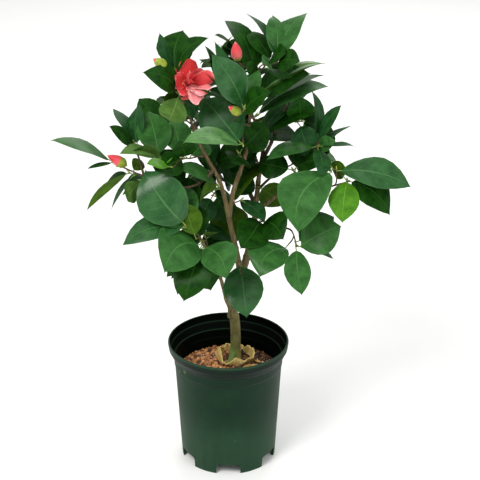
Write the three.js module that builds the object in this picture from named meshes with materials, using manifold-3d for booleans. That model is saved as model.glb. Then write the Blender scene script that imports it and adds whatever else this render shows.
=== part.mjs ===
// A young camellia shrub in its nursery pot, in millimetres with +Z up.
// The origin is the centre of the pot's flat underside. +X is the shrub's right, +Y its back.
import * as THREE from 'three';
import { mergeVertices } from 'three/addons/utils/BufferGeometryUtils.js';
import Module from 'manifold-3d';

const wasm = await Module();
wasm.setup();

// Clearance between pieces that touch
const SEAT = 0.3;
// Vertices nearer than this are one
const MERGE = 1e-3;

// Pot: a tapered wall with a flared lip, a floor that rests in the middle and is raised at the
// foot ring, and drainage notches round the foot
const POT = {
  height: 175,
  footRadius: 65,
  shoulderRadius: 73.6,
  shoulderHeight: 146,
  lipRadius: 82.5,
  lipRound: 1.5,
  wall: 2,
  floor: 2.5,
  padRadius: 43,
  padSlope: 3,
  channelHeight: 16,
  notches: 6,
  notchWidth: 33,
  notchHeight: 15,
  notchRound: 3,
  notchStart: 50,
  sides: 36,
};

// Rise of the flared lip above the shoulder, as fractions of its height and of its overhang
const LIP_CURVE = [[0.3, 0.3], [0.58, 0.76], [0.85, 0.98]];

// Soil: nearly fills the pot, level round the trunk and lower at the wall
const SOIL = { top: 134, edge: 128, levelRadius: 48, sides: 32 };

// Torn wrap of the old root ball, a ring standing on the soil round the trunk's foot. Its rim folds
// inwards, and is torn in waves and a long dip, as shares of its height.
const WRAP = {
  inner: 17,
  outer: 27,
  height: 15,
  belly: 1,
  fold: 2.5,
  waves: 5,
  tear: 0.22,
  dip: 0.12,
  sides: 18,
};

// Trunk: its foot on the soil and the flare there, then its way up to the fork
const TRUNK_FOOT = { x: 8, y: 22, z: SOIL.top + SEAT, flare: 1.5, flareHeight: 22, stump: 8 };
const TRUNK_ROUTE = [[10, 21, 164], [9, 19, 192], [6, 16, 218]];
const TRUNK_RADII = [7.6, 6.6];
const TRUNK_STEP = 9;

const LIMB_SIDES = 6;
const LIMB_STEP = 28;

// Limbs in order of growth: each leaves one before it. The route runs from inside its parent to
// its end, and the radius tapers evenly from the first value to the second.
const LIMBS = [
  { name: 'stem_main', radii: [5.6, 2.6],
    route: [[8, 18, 206], [12, 22, 242], [22, 28, 273], [34, 38, 325], [40, 47, 384], [49, 54, 448]] },
  { name: 'stem_left', radii: [3.4, 2],
    route: [[4, 16, 203], [-3, 8, 234], [-10, -8, 272], [-20, -25, 305], [-36, -52, 352]] },
  { name: 'stem_middle', radii: [3, 1.5],
    route: [[11, 19, 232], [15, 8, 266], [13, 5, 295], [2, -1, 352], [-9, -7, 407], [-33, -18, 461],
      [-53, -28, 522], [-61, -32, 543]] },
  { name: 'stem_upright', radii: [2.2, 1.4],
    route: [[2, -1, 358], [7, 5, 391], [24, 14, 442], [30, 18, 502], [41, 10, 560]] },
  { name: 'bough_right', radii: [2.4, 1.4],
    route: [[36, 41, 346], [53, 38, 363], [68, 32, 373], [82, 25, 397], [99, 17, 421], [120, 8, 463]] },
  { name: 'bough_far_right', radii: [1.8, 1.3],
    route: [[67, 33, 373], [95, 15, 387], [134, -8, 404], [158, -20, 416]] },
  { name: 'bough_front_right', radii: [1.5, 1.2],
    route: [[92, 17, 386], [94, 0, 396], [96, -18, 402]] },
  { name: 'bough_low_right', radii: [2, 1.2],
    route: [[34, 38, 322], [53, 20, 328], [73, -2, 342], [86, -22, 344], [90, -36, 330]] },
  { name: 'bough_left', radii: [2, 1.2],
    route: [[-17, -11, 428], [-43, -30, 413], [-68, -37, 414], [-107, -40, 431], [-146, -45, 452]] },
  { name: 'bough_left_front', radii: [1.5, 1.1],
    route: [[-62, -36, 413.5], [-72, -46, 410], [-82, -56, 402]] },
  { name: 'bough_left_high', radii: [1.5, 1.1],
    route: [[-106, -40, 430.5], [-112, -34, 452], [-120, -27, 474]] },
  { name: 'bough_upper', radii: [2, 1.3],
    route: [[45, 51, 418], [56, 44, 442], [66, 38, 474], [84, 22, 520]] },
  { name: 'bough_front_upper', radii: [1.7, 1.2],
    route: [[29, 18, 478], [20, -8, 490], [6, -38, 506]] },
  { name: 'bough_low_front', radii: [1.4, 1.1],
    route: [[14, 7, 276], [15, -8, 288], [17, -26, 286]] },
  { name: 'bough_back_left', radii: [2.2, 1.3],
    route: [[37, 44, 354], [18, 62, 388], [-12, 74, 418], [-40, 84, 448]] },
  { name: 'bough_back_right', radii: [1.9, 1.2],
    route: [[39, 46, 376], [62, 58, 394], [92, 68, 408]] },
  { name: 'bough_back_middle', radii: [1.8, 1.2],
    route: [[42, 50, 404], [34, 80, 420], [22, 104, 432]] },
  { name: 'bough_back_top', radii: [1.8, 1.2],
    route: [[46, 53, 432], [38, 62, 460], [22, 72, 504]] },
];

// Masses of foliage: centre, half-lengths along X, Y and Z, and a lean about Y in degrees
const MASSES = [
  { name: 'foliage_top', centre: [50, 5, 588], radii: [54, 48, 42], lean: -10 },
  { name: 'foliage_upper_left', centre: [-64, -30, 566], radii: [44, 36, 44], lean: 0 },
  { name: 'foliage_upper_front', centre: [-2, -62, 528], radii: [48, 34, 48], lean: -20 },
  { name: 'foliage_upper_right', centre: [90, 2, 536], radii: [56, 44, 34], lean: -10 },
  { name: 'foliage_right', centre: [124, 0, 470], radii: [42, 38, 42], lean: 0 },
  { name: 'foliage_inner_right', centre: [64, 32, 458], radii: [44, 34, 26], lean: -20 },
  { name: 'foliage_front_right', centre: [98, -38, 398], radii: [36, 24, 42], lean: -15 },
  { name: 'foliage_far_right', centre: [184, -24, 404], radii: [52, 28, 28], lean: 8 },
  { name: 'foliage_low_right', centre: [104, -46, 318], radii: [36, 26, 44], lean: -15 },
  { name: 'foliage_centre_low', centre: [50, -6, 346], radii: [32, 28, 32], lean: 0 },
  { name: 'foliage_low_front', centre: [19, -32, 260], radii: [22, 9, 36], lean: -5 },
  { name: 'foliage_low_left', centre: [-52, -66, 318], radii: [46, 34, 40], lean: 0 },
  { name: 'foliage_left_front', centre: [-90, -64, 396], radii: [42, 30, 42], lean: 20 },
  { name: 'foliage_left', centre: [-66, -34, 478], radii: [48, 36, 38], lean: 0 },
  { name: 'foliage_left_high', centre: [-124, -24, 488], radii: [24, 22, 32], lean: 0 },
  { name: 'foliage_far_left', centre: [-172, -44, 448], radii: [60, 20, 28], lean: 10 },
  { name: 'foliage_inner', centre: [-4, 24, 424], radii: [32, 26, 32], lean: 0 },
  { name: 'foliage_back_left', centre: [-62, 92, 470], radii: [54, 42, 46], lean: 0 },
  { name: 'foliage_back_right', centre: [112, 80, 420], radii: [42, 42, 38], lean: 0 },
  { name: 'foliage_back_top', centre: [10, 82, 532], radii: [50, 44, 46], lean: 0 },
  { name: 'foliage_back', centre: [12, 130, 442], radii: [52, 34, 44], lean: 0 },
];
// Lumps of a mass: depth of each wave as a share of the radius, and how many cross the mass. Each
// mass shifts them by a step of its own.
const LUMPS = [{ depth: 0.09, count: 2.6 }, { depth: 0.06, count: 4.3 }];
const LUMP_SHIFT = 1.7;
// A mass no longer than this each way is given fewer faces
const SMALL_MASS = 51;

const paint = (color, roughness) => new THREE.MeshStandardMaterial({ color, roughness, metalness: 0 });
const POT_GREEN = paint(0x264438, 0.45);
const SOIL_BROWN = paint(0x8a5a3c, 0.95);
const WRAP_TAN = paint(0xc8a564, 0.9);
const BARK = paint(0x6e5a38, 0.85);
const LEAF_GREEN = paint(0x2c5f2a, 0.4);

const shrub = new THREE.Group();

// A solid of merged vertices, without the flat triangles that a lathe leaves on its axis
function solidOf(geometry) {
  const bare = geometry.clone();
  bare.deleteAttribute('normal');
  bare.deleteAttribute('uv');
  const merged = mergeVertices(bare, MERGE);
  const index = merged.index.array;
  const kept = [];
  for (let i = 0; i < index.length; i += 3) {
    const [a, b, c] = [index[i], index[i + 1], index[i + 2]];
    if (a !== b && b !== c && c !== a) kept.push(a, b, c);
  }
  const vertProperties = new Float32Array(merged.attributes.position.array);
  const triVerts = new Uint32Array(kept);
  return new wasm.Manifold(new wasm.Mesh({ numProp: 3, vertProperties, triVerts }));
}

function addPiece(name, solid, material) {
  const { vertProperties, triVerts } = solid.getMesh();
  const geometry = new THREE.BufferGeometry();
  geometry.setAttribute('position', new THREE.BufferAttribute(vertProperties, 3));
  geometry.setIndex(new THREE.BufferAttribute(triVerts, 1));
  geometry.computeVertexNormals();
  const mesh = new THREE.Mesh(geometry, material);
  mesh.name = name;
  shrub.add(mesh);
}

// Turns a profile of [radius, height] pairs about the Z axis
function turned(profile, sides) {
  const points = profile.map(([radius, height]) => new THREE.Vector2(radius, height));
  return new THREE.LatheGeometry(points, sides).rotateX(Math.PI / 2);
}

// Inner radius of the pot's wall between foot and shoulder
function boreRadius(height) {
  const outer = THREE.MathUtils.lerp(POT.footRadius, POT.shoulderRadius, height / POT.shoulderHeight);
  return outer - POT.wall;
}

function potNotch(index) {
  const half = POT.notchWidth / 2;
  const round = POT.notchRound;
  const outline = new THREE.Shape();
  outline.moveTo(-half, -round);
  outline.lineTo(half, -round);
  outline.lineTo(half, POT.notchHeight - round);
  outline.absarc(half - round, POT.notchHeight - round, round, 0, Math.PI / 2, false);
  outline.lineTo(round - half, POT.notchHeight);
  outline.absarc(round - half, POT.notchHeight - round, round, Math.PI / 2, Math.PI, false);
  outline.closePath();
  const extrusion = { depth: POT.footRadius, curveSegments: 3, bevelEnabled: false };
  const cutter = new THREE.ExtrudeGeometry(outline, extrusion);
  cutter.rotateX(Math.PI / 2);
  cutter.translate(0, -POT.notchStart, 0);
  cutter.rotateZ((index * 2 * Math.PI) / POT.notches);
  return solidOf(cutter);
}

function pot() {
  const flare = POT.lipRadius - POT.shoulderRadius;
  const rise = POT.height - POT.shoulderHeight;
  const lipPoint = ([up, out]) => [POT.shoulderRadius + out * flare, POT.shoulderHeight + up * rise];
  const lip = LIP_CURVE.map(lipPoint);
  const innerLip = lip.map(([radius, height]) => [radius - POT.wall, height]).reverse();
  const ceiling = POT.channelHeight;
  const floorTop = ceiling + POT.floor;
  const profile = [
    [0, 0],
    [POT.padRadius, 0],
    [POT.padRadius + POT.padSlope, ceiling],
    [POT.footRadius - POT.wall, ceiling],
    [POT.footRadius - POT.wall, 0],
    [POT.footRadius, 0],
    [POT.shoulderRadius, POT.shoulderHeight],
    ...lip,
    [POT.lipRadius - POT.lipRound / 2, POT.height],
    [POT.lipRadius - POT.wall, POT.height],
    ...innerLip,
    [POT.shoulderRadius - POT.wall, POT.shoulderHeight],
    [boreRadius(floorTop), floorTop],
    [POT.padRadius + POT.padSlope + POT.floor, floorTop],
    [POT.padRadius + POT.floor, POT.floor],
    [0, POT.floor],
  ];
  let body = solidOf(turned(profile, POT.sides));
  for (let index = 0; index < POT.notches; index += 1) {
    body = body.subtract(potNotch(index));
  }
  return body;
}

function soil() {
  const floorTop = POT.channelHeight + POT.floor + SEAT;
  const bottom = POT.floor + SEAT;
  const padEdge = POT.padRadius + POT.floor - SEAT;
  return solidOf(turned([
    [0, bottom],
    [padEdge, bottom],
    [padEdge + POT.padSlope, floorTop],
    [boreRadius(floorTop) - 2 * SEAT, floorTop],
    [boreRadius(SOIL.edge) - 2 * SEAT, SOIL.edge],
    [SOIL.levelRadius, SOIL.top],
    [0, SOIL.top],
  ], SOIL.sides));
}

function rootWrap() {
  const { inner, outer, height, belly, fold, waves, tear, dip, sides } = WRAP;
  const geometry = turned([
    [inner, 0],
    [outer, 0],
    [outer + belly, height / 2],
    [outer - fold, height],
    [inner + fold, height],
    [inner + belly, height / 2],
    [inner, 0],
  ], sides);
  const position = geometry.attributes.position;
  for (let i = 0; i < position.count; i += 1) {
    const angle = Math.atan2(position.getY(i), position.getX(i));
    const torn = 1 - tear * Math.sin(waves * angle) - dip * Math.cos(2 * angle);
    position.setZ(i, position.getZ(i) * torn);
  }
  geometry.translate(TRUNK_FOOT.x, TRUNK_FOOT.y, TRUNK_FOOT.z);
  return solidOf(geometry);
}

// A closed tapering tube along a smooth curve. radiusAt gives its radius at each height fraction.
function limb(route, radiusAt, stepLength = LIMB_STEP) {
  const curve = new THREE.CatmullRomCurve3(route.map((point) => new THREE.Vector3(...point)));
  const steps = Math.max(3, Math.round(curve.getLength() / stepLength));
  const frames = curve.computeFrenetFrames(steps, false);
  const geometry = new THREE.CylinderGeometry(1, 1, 1, LIMB_SIDES, steps);
  const position = geometry.attributes.position;
  for (let i = 0; i < position.count; i += 1) {
    const step = Math.round((position.getY(i) + 0.5) * steps);
    const radius = radiusAt(step / steps);
    const place = curve.getPointAt(step / steps);
    place.addScaledVector(frames.normals[step], -radius * position.getX(i));
    place.addScaledVector(frames.binormals[step], radius * position.getZ(i));
    position.setXYZ(i, place.x, place.y, place.z);
  }
  return solidOf(geometry);
}

// The trunk rises from a flat cut on the soil, flared at its foot, to the fork
function trunk(grow) {
  const { x, y, z, flare, flareHeight, stump } = TRUNK_FOOT;
  const [foot, top] = TRUNK_RADII;
  const start = new THREE.Vector3(x, y, z - stump);
  const route = [start.toArray(), ...TRUNK_ROUTE];
  const length = TRUNK_ROUTE.at(-1)[2] - start.z;
  const radiusAt = (share) => {
    const spread = Math.max(0, 1 - (share * length) / flareHeight);
    return THREE.MathUtils.lerp(foot, top, share) * (1 + (flare - 1) * spread) + grow;
  };
  const ground = new THREE.BoxGeometry(4 * foot, 4 * foot, 4 * stump);
  ground.translate(x, y, z - 2 * stump);
  return limb(route, radiusAt, TRUNK_STEP).subtract(solidOf(ground));
}

function foliage({ centre, radii, lean }, seed, grow) {
  const detail = Math.max(...radii) > SMALL_MASS ? 3 : 2;
  const geometry = new THREE.IcosahedronGeometry(1, detail);
  const position = geometry.attributes.position;
  for (let i = 0; i < position.count; i += 1) {
    const way = new THREE.Vector3().fromBufferAttribute(position, i);
    let swell = 1;
    LUMPS.forEach(({ depth, count }, wave) => {
      const phase = LUMP_SHIFT * seed + wave;
      swell += depth * Math.sin(count * way.x + phase) * Math.cos(count * way.z - phase);
      swell += 0.5 * depth * Math.sin(count * way.y + 2 * phase);
    });
    position.setXYZ(i, ...way.toArray().map((side, axis) => side * (radii[axis] * swell + grow)));
  }
  geometry.rotateY(THREE.MathUtils.degToRad(lean));
  geometry.translate(...centre);
  return solidOf(geometry);
}

addPiece('pot', pot(), POT_GREEN);
addPiece('soil', soil(), SOIL_BROWN);
addPiece('root_wrap', rootWrap(), WRAP_TAN);

const trunkSolid = trunk(0);
addPiece('trunk', trunkSolid, BARK);

// What a later piece has to clear: every piece already made, grown by the clearance
const taken = [trunk(SEAT)];
for (const { name, radii, route } of LIMBS) {
  const taper = (grow) => (share) => THREE.MathUtils.lerp(...radii, share) + grow;
  let solid = limb(route, taper(0));
  for (const other of taken) solid = solid.subtract(other);
  addPiece(name, solid, BARK);
  taken.push(limb(route, taper(SEAT)));
}
MASSES.forEach((mass, seed) => {
  let solid = foliage(mass, seed, 0);
  for (const other of taken) solid = solid.subtract(other);
  addPiece(mass.name, solid, LEAF_GREEN);
  taken.push(foliage(mass, seed, SEAT));
});

export default shrub;
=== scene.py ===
"""The looks of a young camellia in its nursery pot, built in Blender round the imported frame.

The plant's tables hold millimetres and degrees, and its meshes are made in metres. +Z is up, +X is
the shrub's right and +Y its back. A bearing is measured from +X towards +Y, and a rise from level.
"""

from __future__ import annotations

import logging
import math
import random
from contextlib import contextmanager
from dataclasses import dataclass, field
from enum import Enum
from functools import cached_property
from typing import Callable, Iterator, NamedTuple, Sequence

import bpy
import numpy as np
from mathutils import Matrix, Vector

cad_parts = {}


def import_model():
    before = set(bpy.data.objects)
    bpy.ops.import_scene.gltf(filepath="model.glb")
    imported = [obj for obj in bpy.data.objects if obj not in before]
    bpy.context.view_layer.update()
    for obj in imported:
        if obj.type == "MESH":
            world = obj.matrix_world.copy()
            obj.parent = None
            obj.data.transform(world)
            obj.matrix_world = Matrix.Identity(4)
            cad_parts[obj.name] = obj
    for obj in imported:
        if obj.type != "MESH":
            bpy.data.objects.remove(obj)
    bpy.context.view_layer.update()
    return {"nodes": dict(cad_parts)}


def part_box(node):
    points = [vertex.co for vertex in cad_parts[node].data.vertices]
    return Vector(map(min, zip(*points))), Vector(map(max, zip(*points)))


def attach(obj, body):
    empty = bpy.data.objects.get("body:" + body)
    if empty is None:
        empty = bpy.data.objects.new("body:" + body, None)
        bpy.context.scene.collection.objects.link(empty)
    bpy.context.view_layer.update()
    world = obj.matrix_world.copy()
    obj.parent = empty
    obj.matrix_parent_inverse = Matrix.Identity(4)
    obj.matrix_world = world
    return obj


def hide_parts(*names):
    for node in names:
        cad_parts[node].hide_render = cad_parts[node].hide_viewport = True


LOG = logging.getLogger("camellia")
MM = 0.001
GOLDEN_TURN = math.radians(137.5)
TOUCHING = 1e-6
PULL = 0.38
UP = Vector((0.0, 0.0, 1.0))
FRONT = Vector((0.0, -1.0, 0.0))
LEAF_MAP = "OFBake"

Socket = bpy.types.NodeSocket
Material = bpy.types.Material
Node = bpy.types.Node
Piece = bpy.types.Object
Colour = tuple[float, float, float, float]
Triple = tuple[float, float, float]
Pair = tuple[float, float]
Face = tuple[int, ...]


def paint(red: int, green: int, blue: int) -> Colour:
    """Turns a colour of three 0-255 values into the linear colour that a shader takes.

    Args:
        red: Red as on a colour card.
        green: Green as on a colour card.
        blue: Blue as on a colour card.

    Returns:
        Linear red, green and blue, and an alpha of 1.
    """

    def linear(value: int) -> float:
        share = value / 255.0
        return share / 12.92 if share <= 0.04045 else ((share + 0.055) / 1.055) ** 2.4

    return (linear(red), linear(green), linear(blue), 1.0)


def heading(bearing: float, rise: float) -> Vector:
    """Gives the unit vector with a bearing and a rise.

    Args:
        bearing: Degrees from +X towards +Y.
        rise: Degrees above level.

    Returns:
        The unit vector.
    """
    turn, lift = math.radians(bearing), math.radians(rise)
    return Vector((math.cos(turn) * math.cos(lift), math.sin(turn) * math.cos(lift), math.sin(lift)))


def square_to(way: Vector, wish: Vector) -> Vector:
    """Gives the unit vector at right angles to one vector that is nearest to another."""
    rest = wish - wish.dot(way) * way
    if rest.length < TOUCHING:
        rest = way.orthogonal()
    return rest.normalized()


def spiral(axis: Vector, first: Vector, rank: int, start: float = 0.0) -> Vector:
    """Gives the outward direction of one place in a golden spiral round an axis.

    Args:
        axis: The unit direction of the axis.
        first: The unit direction at right angles to it that turns are counted from.
        rank: The place's number in the spiral.
        start: The turn of the spiral's first place, in radians.

    Returns:
        The unit direction.
    """
    turn = start + rank * GOLDEN_TURN
    return math.cos(turn) * first + math.sin(turn) * axis.cross(first)


# ---- Mesh work ----


def clear_selection() -> None:
    """Deselects every object, the frame's own among them."""
    bpy.ops.object.select_all(action="DESELECT")


def take_up(piece: Piece) -> Piece:
    """Makes a piece the only selected object and the active one."""
    clear_selection()
    piece.select_set(True)
    bpy.context.view_layer.objects.active = piece
    return piece


@contextmanager
def editing(piece: Piece) -> Iterator[None]:
    """Holds a piece in Edit mode with all of it selected."""
    take_up(piece)
    bpy.ops.object.mode_set(mode="EDIT")
    bpy.ops.mesh.select_all(action="SELECT")
    yield
    bpy.ops.object.mode_set(mode="OBJECT")


def apply_modifier(piece: Piece, kind: str, **settings: object) -> None:
    """Adds a modifier to a piece and applies it at once.

    Args:
        piece: The object to change.
        kind: Blender's name for the modifier type.
        **settings: Values for the modifier's own fields.
    """
    take_up(piece)
    bpy.ops.object.modifier_add(type=kind)
    modifier = piece.modifiers[-1]
    for name, value in settings.items():
        setattr(modifier, name, value)
    bpy.ops.object.modifier_apply(modifier=modifier.name)


def close_up(piece: Piece, angle: float = 40.0) -> None:
    """Merges a piece's doubles, turns its faces outwards and smooths it below an angle.

    Args:
        piece: The object to finish.
        angle: Degrees between faces above which an edge stays crisp.
    """
    with editing(piece):
        bpy.ops.mesh.remove_doubles(threshold=TOUCHING)
        bpy.ops.mesh.normals_make_consistent(inside=False)
    bpy.ops.object.shade_smooth_by_angle(angle=math.radians(angle))


def join(pieces: Sequence[Piece], name: str) -> Piece:
    """Joins objects into the first of them and gives it a name."""
    take_up(pieces[0])
    for piece in pieces:
        piece.select_set(True)
    if len(pieces) > 1:
        bpy.ops.object.join()
    pieces[0].name = pieces[0].data.name = name
    return pieces[0]


def texture(name: str, kind: str, **settings: object) -> bpy.types.Texture:
    """Makes a seedless procedural texture for a Displace modifier."""
    made = bpy.data.textures.new(name, kind)
    for key, value in settings.items():
        setattr(made, key, value)
    return made


class Batch:
    """Many small shapes gathered for one joined mesh."""

    def __init__(self) -> None:
        """Starts with nothing in it."""
        self.points: list[np.ndarray] = []
        self.faces: list[Face] = []
        self.slots: list[int] = []
        self.corners: list[Pair] = []
        self.count = 0

    def add(
        self, points: np.ndarray, faces: Sequence[Face], slots: int | list[int], corners: Sequence[Pair] = ()
    ) -> None:
        """Adds one shape.

        Args:
            points: Its vertices, in metres.
            faces: Its faces, as indices into its own vertices.
            slots: The material slot of each face, or of all of them.
            corners: A map place for each corner of each face, in order.
        """
        self.faces += [tuple(self.count + index for index in face) for face in faces]
        self.points.append(points)
        self.slots += [slots] * len(faces) if isinstance(slots, int) else slots
        self.corners += corners
        self.count += len(points)

    def add_tube(
        self, route: Sequence[Vector], radii: Sequence[float], sides: int, slot: int, cell: int
    ) -> None:
        """Adds a closed tube.

        Args:
            route: The points of its centre line.
            radii: Its radius at each point.
            sides: How many sides its section has.
            slot: Its material slot.
            cell: The cell of the map that it is drawn on.
        """
        points, faces, corners = sweep(route, radii, sides)
        self.add(points, faces, slot, [Chart.place(cell, *corner) for corner in corners])

    def build(self, name: str, finishes: Sequence[Material], angle: float) -> Piece:
        """Makes the joined mesh.

        Args:
            name: The piece's name.
            finishes: Its materials, in slot order.
            angle: Degrees between faces above which an edge stays crisp.

        Returns:
            The new object, linked to the scene.
        """
        mesh = bpy.data.meshes.new(name)
        mesh.from_pydata(np.concatenate(self.points), [], self.faces)
        for finish in finishes:
            mesh.materials.append(finish)
        mesh.polygons.foreach_set("material_index", self.slots)
        chart = mesh.uv_layers.new(name=LEAF_MAP)
        chart.data.foreach_set("uv", np.array(self.corners, np.float32).ravel())
        piece = bpy.data.objects.new(name, mesh)
        bpy.context.scene.collection.objects.link(piece)
        take_up(piece)
        bpy.ops.object.shade_smooth_by_angle(angle=math.radians(angle))
        return piece


class Chart:
    """The shared map: a square of cells, one for each kind of surface."""

    SIDE = 4
    MARGIN = 0.05
    ROOM = 1.0 - 2.0 * MARGIN

    @classmethod
    def place(cls, cell: int, across: float, up: float) -> Pair:
        """Gives the map place of a point in a cell.

        Args:
            cell: The cell's number, counted along rows.
            across: How far the point is across the cell, from 0 to 1.
            up: How far it is up the cell, from 0 to 1.

        Returns:
            The place on the whole map.
        """
        row, column = divmod(cell, cls.SIDE)
        return (
            (column + cls.MARGIN + cls.ROOM * across) / cls.SIDE,
            (row + cls.MARGIN + cls.ROOM * up) / cls.SIDE,
        )

    @classmethod
    def read(cls, bench: Bench, cell: int) -> Socket:
        """Adds nodes that give a surface's place in its cell, from 0 to 1 each way.

        Args:
            bench: The material's bench.
            cell: The cell that the surface is drawn on.

        Returns:
            The place.
        """
        row, column = divmod(cell, cls.SIDE)
        shift = (-(column + cls.MARGIN) / cls.ROOM, -(row + cls.MARGIN) / cls.ROOM, 0.0)
        chart = bench.add("UVMap", uv_map=LEAF_MAP).outputs[0]
        return bench.stretch(chart, (cls.SIDE / cls.ROOM, cls.SIDE / cls.ROOM, 1.0), shift)


def sweep(
    route: Sequence[Vector], radii: Sequence[float], sides: int
) -> tuple[np.ndarray, list[Face], list[Pair]]:
    """Makes a closed tube along a route.

    Args:
        route: The points of its centre line.
        radii: Its radius at each point.
        sides: How many sides its section has.

    Returns:
        Its vertices, its faces, and a place from 0 to 1 each way for each face corner.
    """
    way = (route[1] - route[0]).normalized()
    side = way.orthogonal().normalized()
    points: list[Vector] = [route[0]]
    last = len(route) - 1
    for index, place in enumerate(route):
        way = (route[min(index + 1, last)] - route[max(index - 1, 0)]).normalized()
        side = square_to(way, side)
        other = way.cross(side)
        for step in range(sides):
            turn = 2.0 * math.pi * step / sides
            points.append(place + radii[index] * (math.cos(turn) * side + math.sin(turn) * other))
    points.append(route[-1])
    faces: list[Face] = []
    corners: list[Pair] = []
    for step in range(sides):
        after = (step + 1) % sides
        low, high = step / sides, (step + 1) / sides
        faces.append((0, 1 + after, 1 + step))
        corners += [(0.0, low), (0.0, high), (0.0, low)]
        for index in range(last):
            ring, above = 1 + index * sides, 1 + (index + 1) * sides
            faces.append((ring + step, ring + after, above + after, above + step))
            start, end = index / last, (index + 1) / last
            corners += [(start, low), (start, high), (end, high), (end, low)]
        ring = 1 + last * sides
        faces.append((ring + step, ring + after, len(points) - 1))
        corners += [(1.0, low), (1.0, high), (1.0, low)]
    return np.array(points), faces, corners


def bend(start: Vector, out: Vector, end: Vector, home: Vector, steps: int) -> list[Vector]:
    """Gives the points of a smooth bend between two places.

    Args:
        start: Where it starts.
        out: The unit direction in which it leaves.
        end: Where it ends.
        home: The unit direction in which it arrives.
        steps: How many steps it has.

    Returns:
        The points from start to end.
    """
    pull = PULL * (end - start).length
    first, second = start + pull * out, end - pull * home
    places = []
    for step in range(steps + 1):
        share = step / steps
        rest = 1.0 - share
        places.append(
            rest**3 * start + 3 * rest**2 * share * first + 3 * rest * share**2 * second + share**3 * end
        )
    return places


# ---- Node work ----


class Bench:
    """Adds and wires the nodes of one material or one node group."""

    def __init__(self, tree: bpy.types.NodeTree) -> None:
        """Takes the node tree to work on."""
        self.tree = tree

    def wire(self, node: Node, wires: dict[str | int, object]) -> None:
        """Sets a node's inputs.

        Args:
            node: The node.
            wires: For each input, the socket to link to it or the value to give it.
        """
        for key, value in wires.items():
            if isinstance(value, Socket):
                self.tree.links.new(value, node.inputs[key])
            else:
                node.inputs[key].default_value = value

    def add(self, kind: str, wires: dict[str | int, object] | None = None, **settings: object) -> Node:
        """Adds a node.

        Args:
            kind: The node's type, without its ShaderNode prefix.
            wires: For each input, the socket to link to it or the value to give it.
            **settings: Values for the node's own fields.

        Returns:
            The new node.
        """
        node = self.tree.nodes.new("ShaderNode" + kind)
        for name, value in settings.items():
            setattr(node, name, value)
        self.wire(node, wires or {})
        return node

    def reckon(self, operation: str, first: object, second: object = 0.0) -> Socket:
        """Adds a Math node and gives its result."""
        return self.add("Math", {0: first, 1: second}, operation=operation).outputs[0]

    def times(self, first: object, second: object) -> Socket:
        """Multiplies two values."""
        return self.reckon("MULTIPLY", first, second)

    def plus(self, first: object, second: object) -> Socket:
        """Adds two values up."""
        return self.reckon("ADD", first, second)

    def less(self, first: object, second: object) -> Socket:
        """Takes the second value from the first."""
        return self.reckon("SUBTRACT", first, second)

    def remap(
        self, value: object, low: float, high: float, start: float = 0.0, end: float = 1.0
    ) -> Socket:
        """Adds a smooth Map Range node from one span to another and gives its result."""
        wires = {"Value": value, "From Min": low, "From Max": high, "To Min": start, "To Max": end}
        return self.add("MapRange", wires, interpolation_type="SMOOTHSTEP").outputs[0]

    def blend(self, share: object, first: object, second: object) -> Socket:
        """Adds a colour Mix node and gives its result."""
        return self.add("Mix", {0: share, 6: first, 7: second}, data_type="RGBA").outputs[2]

    def noise(self, place: object, scale: float, detail: float = 3.0, rough: float = 0.5) -> Socket:
        """Adds a Noise node and gives its value."""
        wires = {"Vector": place, "Scale": scale, "Detail": detail, "Roughness": rough}
        return self.add("TexNoise", wires).outputs[0]

    def cells(self, place: object, scale: float, feature: str = "F1") -> Socket:
        """Adds a Voronoi node and gives the distance from its cells' points or edges."""
        wires = {"Vector": place, "Scale": scale, "Randomness": 1.0}
        return self.add("TexVoronoi", wires, feature=feature).outputs["Distance"]

    def bump(self, height: object, strength: float, depth: float, invert: bool = False) -> Socket:
        """Adds a Bump node and gives its normal."""
        wires = {"Height": height, "Strength": strength, "Distance": depth}
        return self.add("Bump", wires, invert=invert).outputs[0]

    def stretch(self, place: object, scale: Triple, shift: Triple = (0.0, 0.0, 0.0)) -> Socket:
        """Adds a Mapping node that scales and shifts a place."""
        return self.add("Mapping", {"Vector": place, "Scale": scale, "Location": shift}).outputs[0]

    def part(self, place: object) -> tuple[Socket, Socket, Socket]:
        """Splits a place into its three numbers."""
        node = self.add("SeparateXYZ", {0: place})
        return node.outputs[0], node.outputs[1], node.outputs[2]

    def object_place(self) -> Socket:
        """Gives the place of the surface in the object's own frame."""
        return self.add("TexCoord").outputs["Object"]


class PatternGroup:
    """A shader node group with named inputs and outputs, built once."""

    def __init__(self, name: str, takes: dict[str, str], gives: Sequence[str]) -> None:
        """Opens the group.

        Args:
            name: The group's name.
            takes: The socket type of each input.
            gives: The names of its outputs, all plain values.
        """
        self.tree = bpy.data.node_groups.new(name, "ShaderNodeTree")
        for key, kind in takes.items():
            self.tree.interface.new_socket(key, in_out="INPUT", socket_type="NodeSocket" + kind)
        for key in gives:
            self.tree.interface.new_socket(key, in_out="OUTPUT", socket_type="NodeSocketFloat")
        self.bench = Bench(self.tree)
        self.entry = self.tree.nodes.new("NodeGroupInput")
        self.exit = self.tree.nodes.new("NodeGroupOutput")

    def give(self, name: str, socket: Socket) -> None:
        """Links a result to one of the group's outputs."""
        self.tree.links.new(socket, self.exit.inputs[name])

    def place_in(self, bench: Bench, wires: dict[str, object]) -> dict[str, Socket]:
        """Places the group in a material and gives its outputs by their names."""
        node = bench.add("Group", wires, node_tree=self.tree)
        return {output.name: output for output in node.outputs}


def new_finish(name: str) -> tuple[Material, Bench, Node]:
    """Makes a material with nodes.

    Args:
        name: The material's name.

    Returns:
        The material, a bench for its nodes, and its Principled node.
    """
    material = bpy.data.materials.new(name)
    material.use_nodes = True
    return material, Bench(material.node_tree), material.node_tree.nodes["Principled BSDF"]


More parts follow.
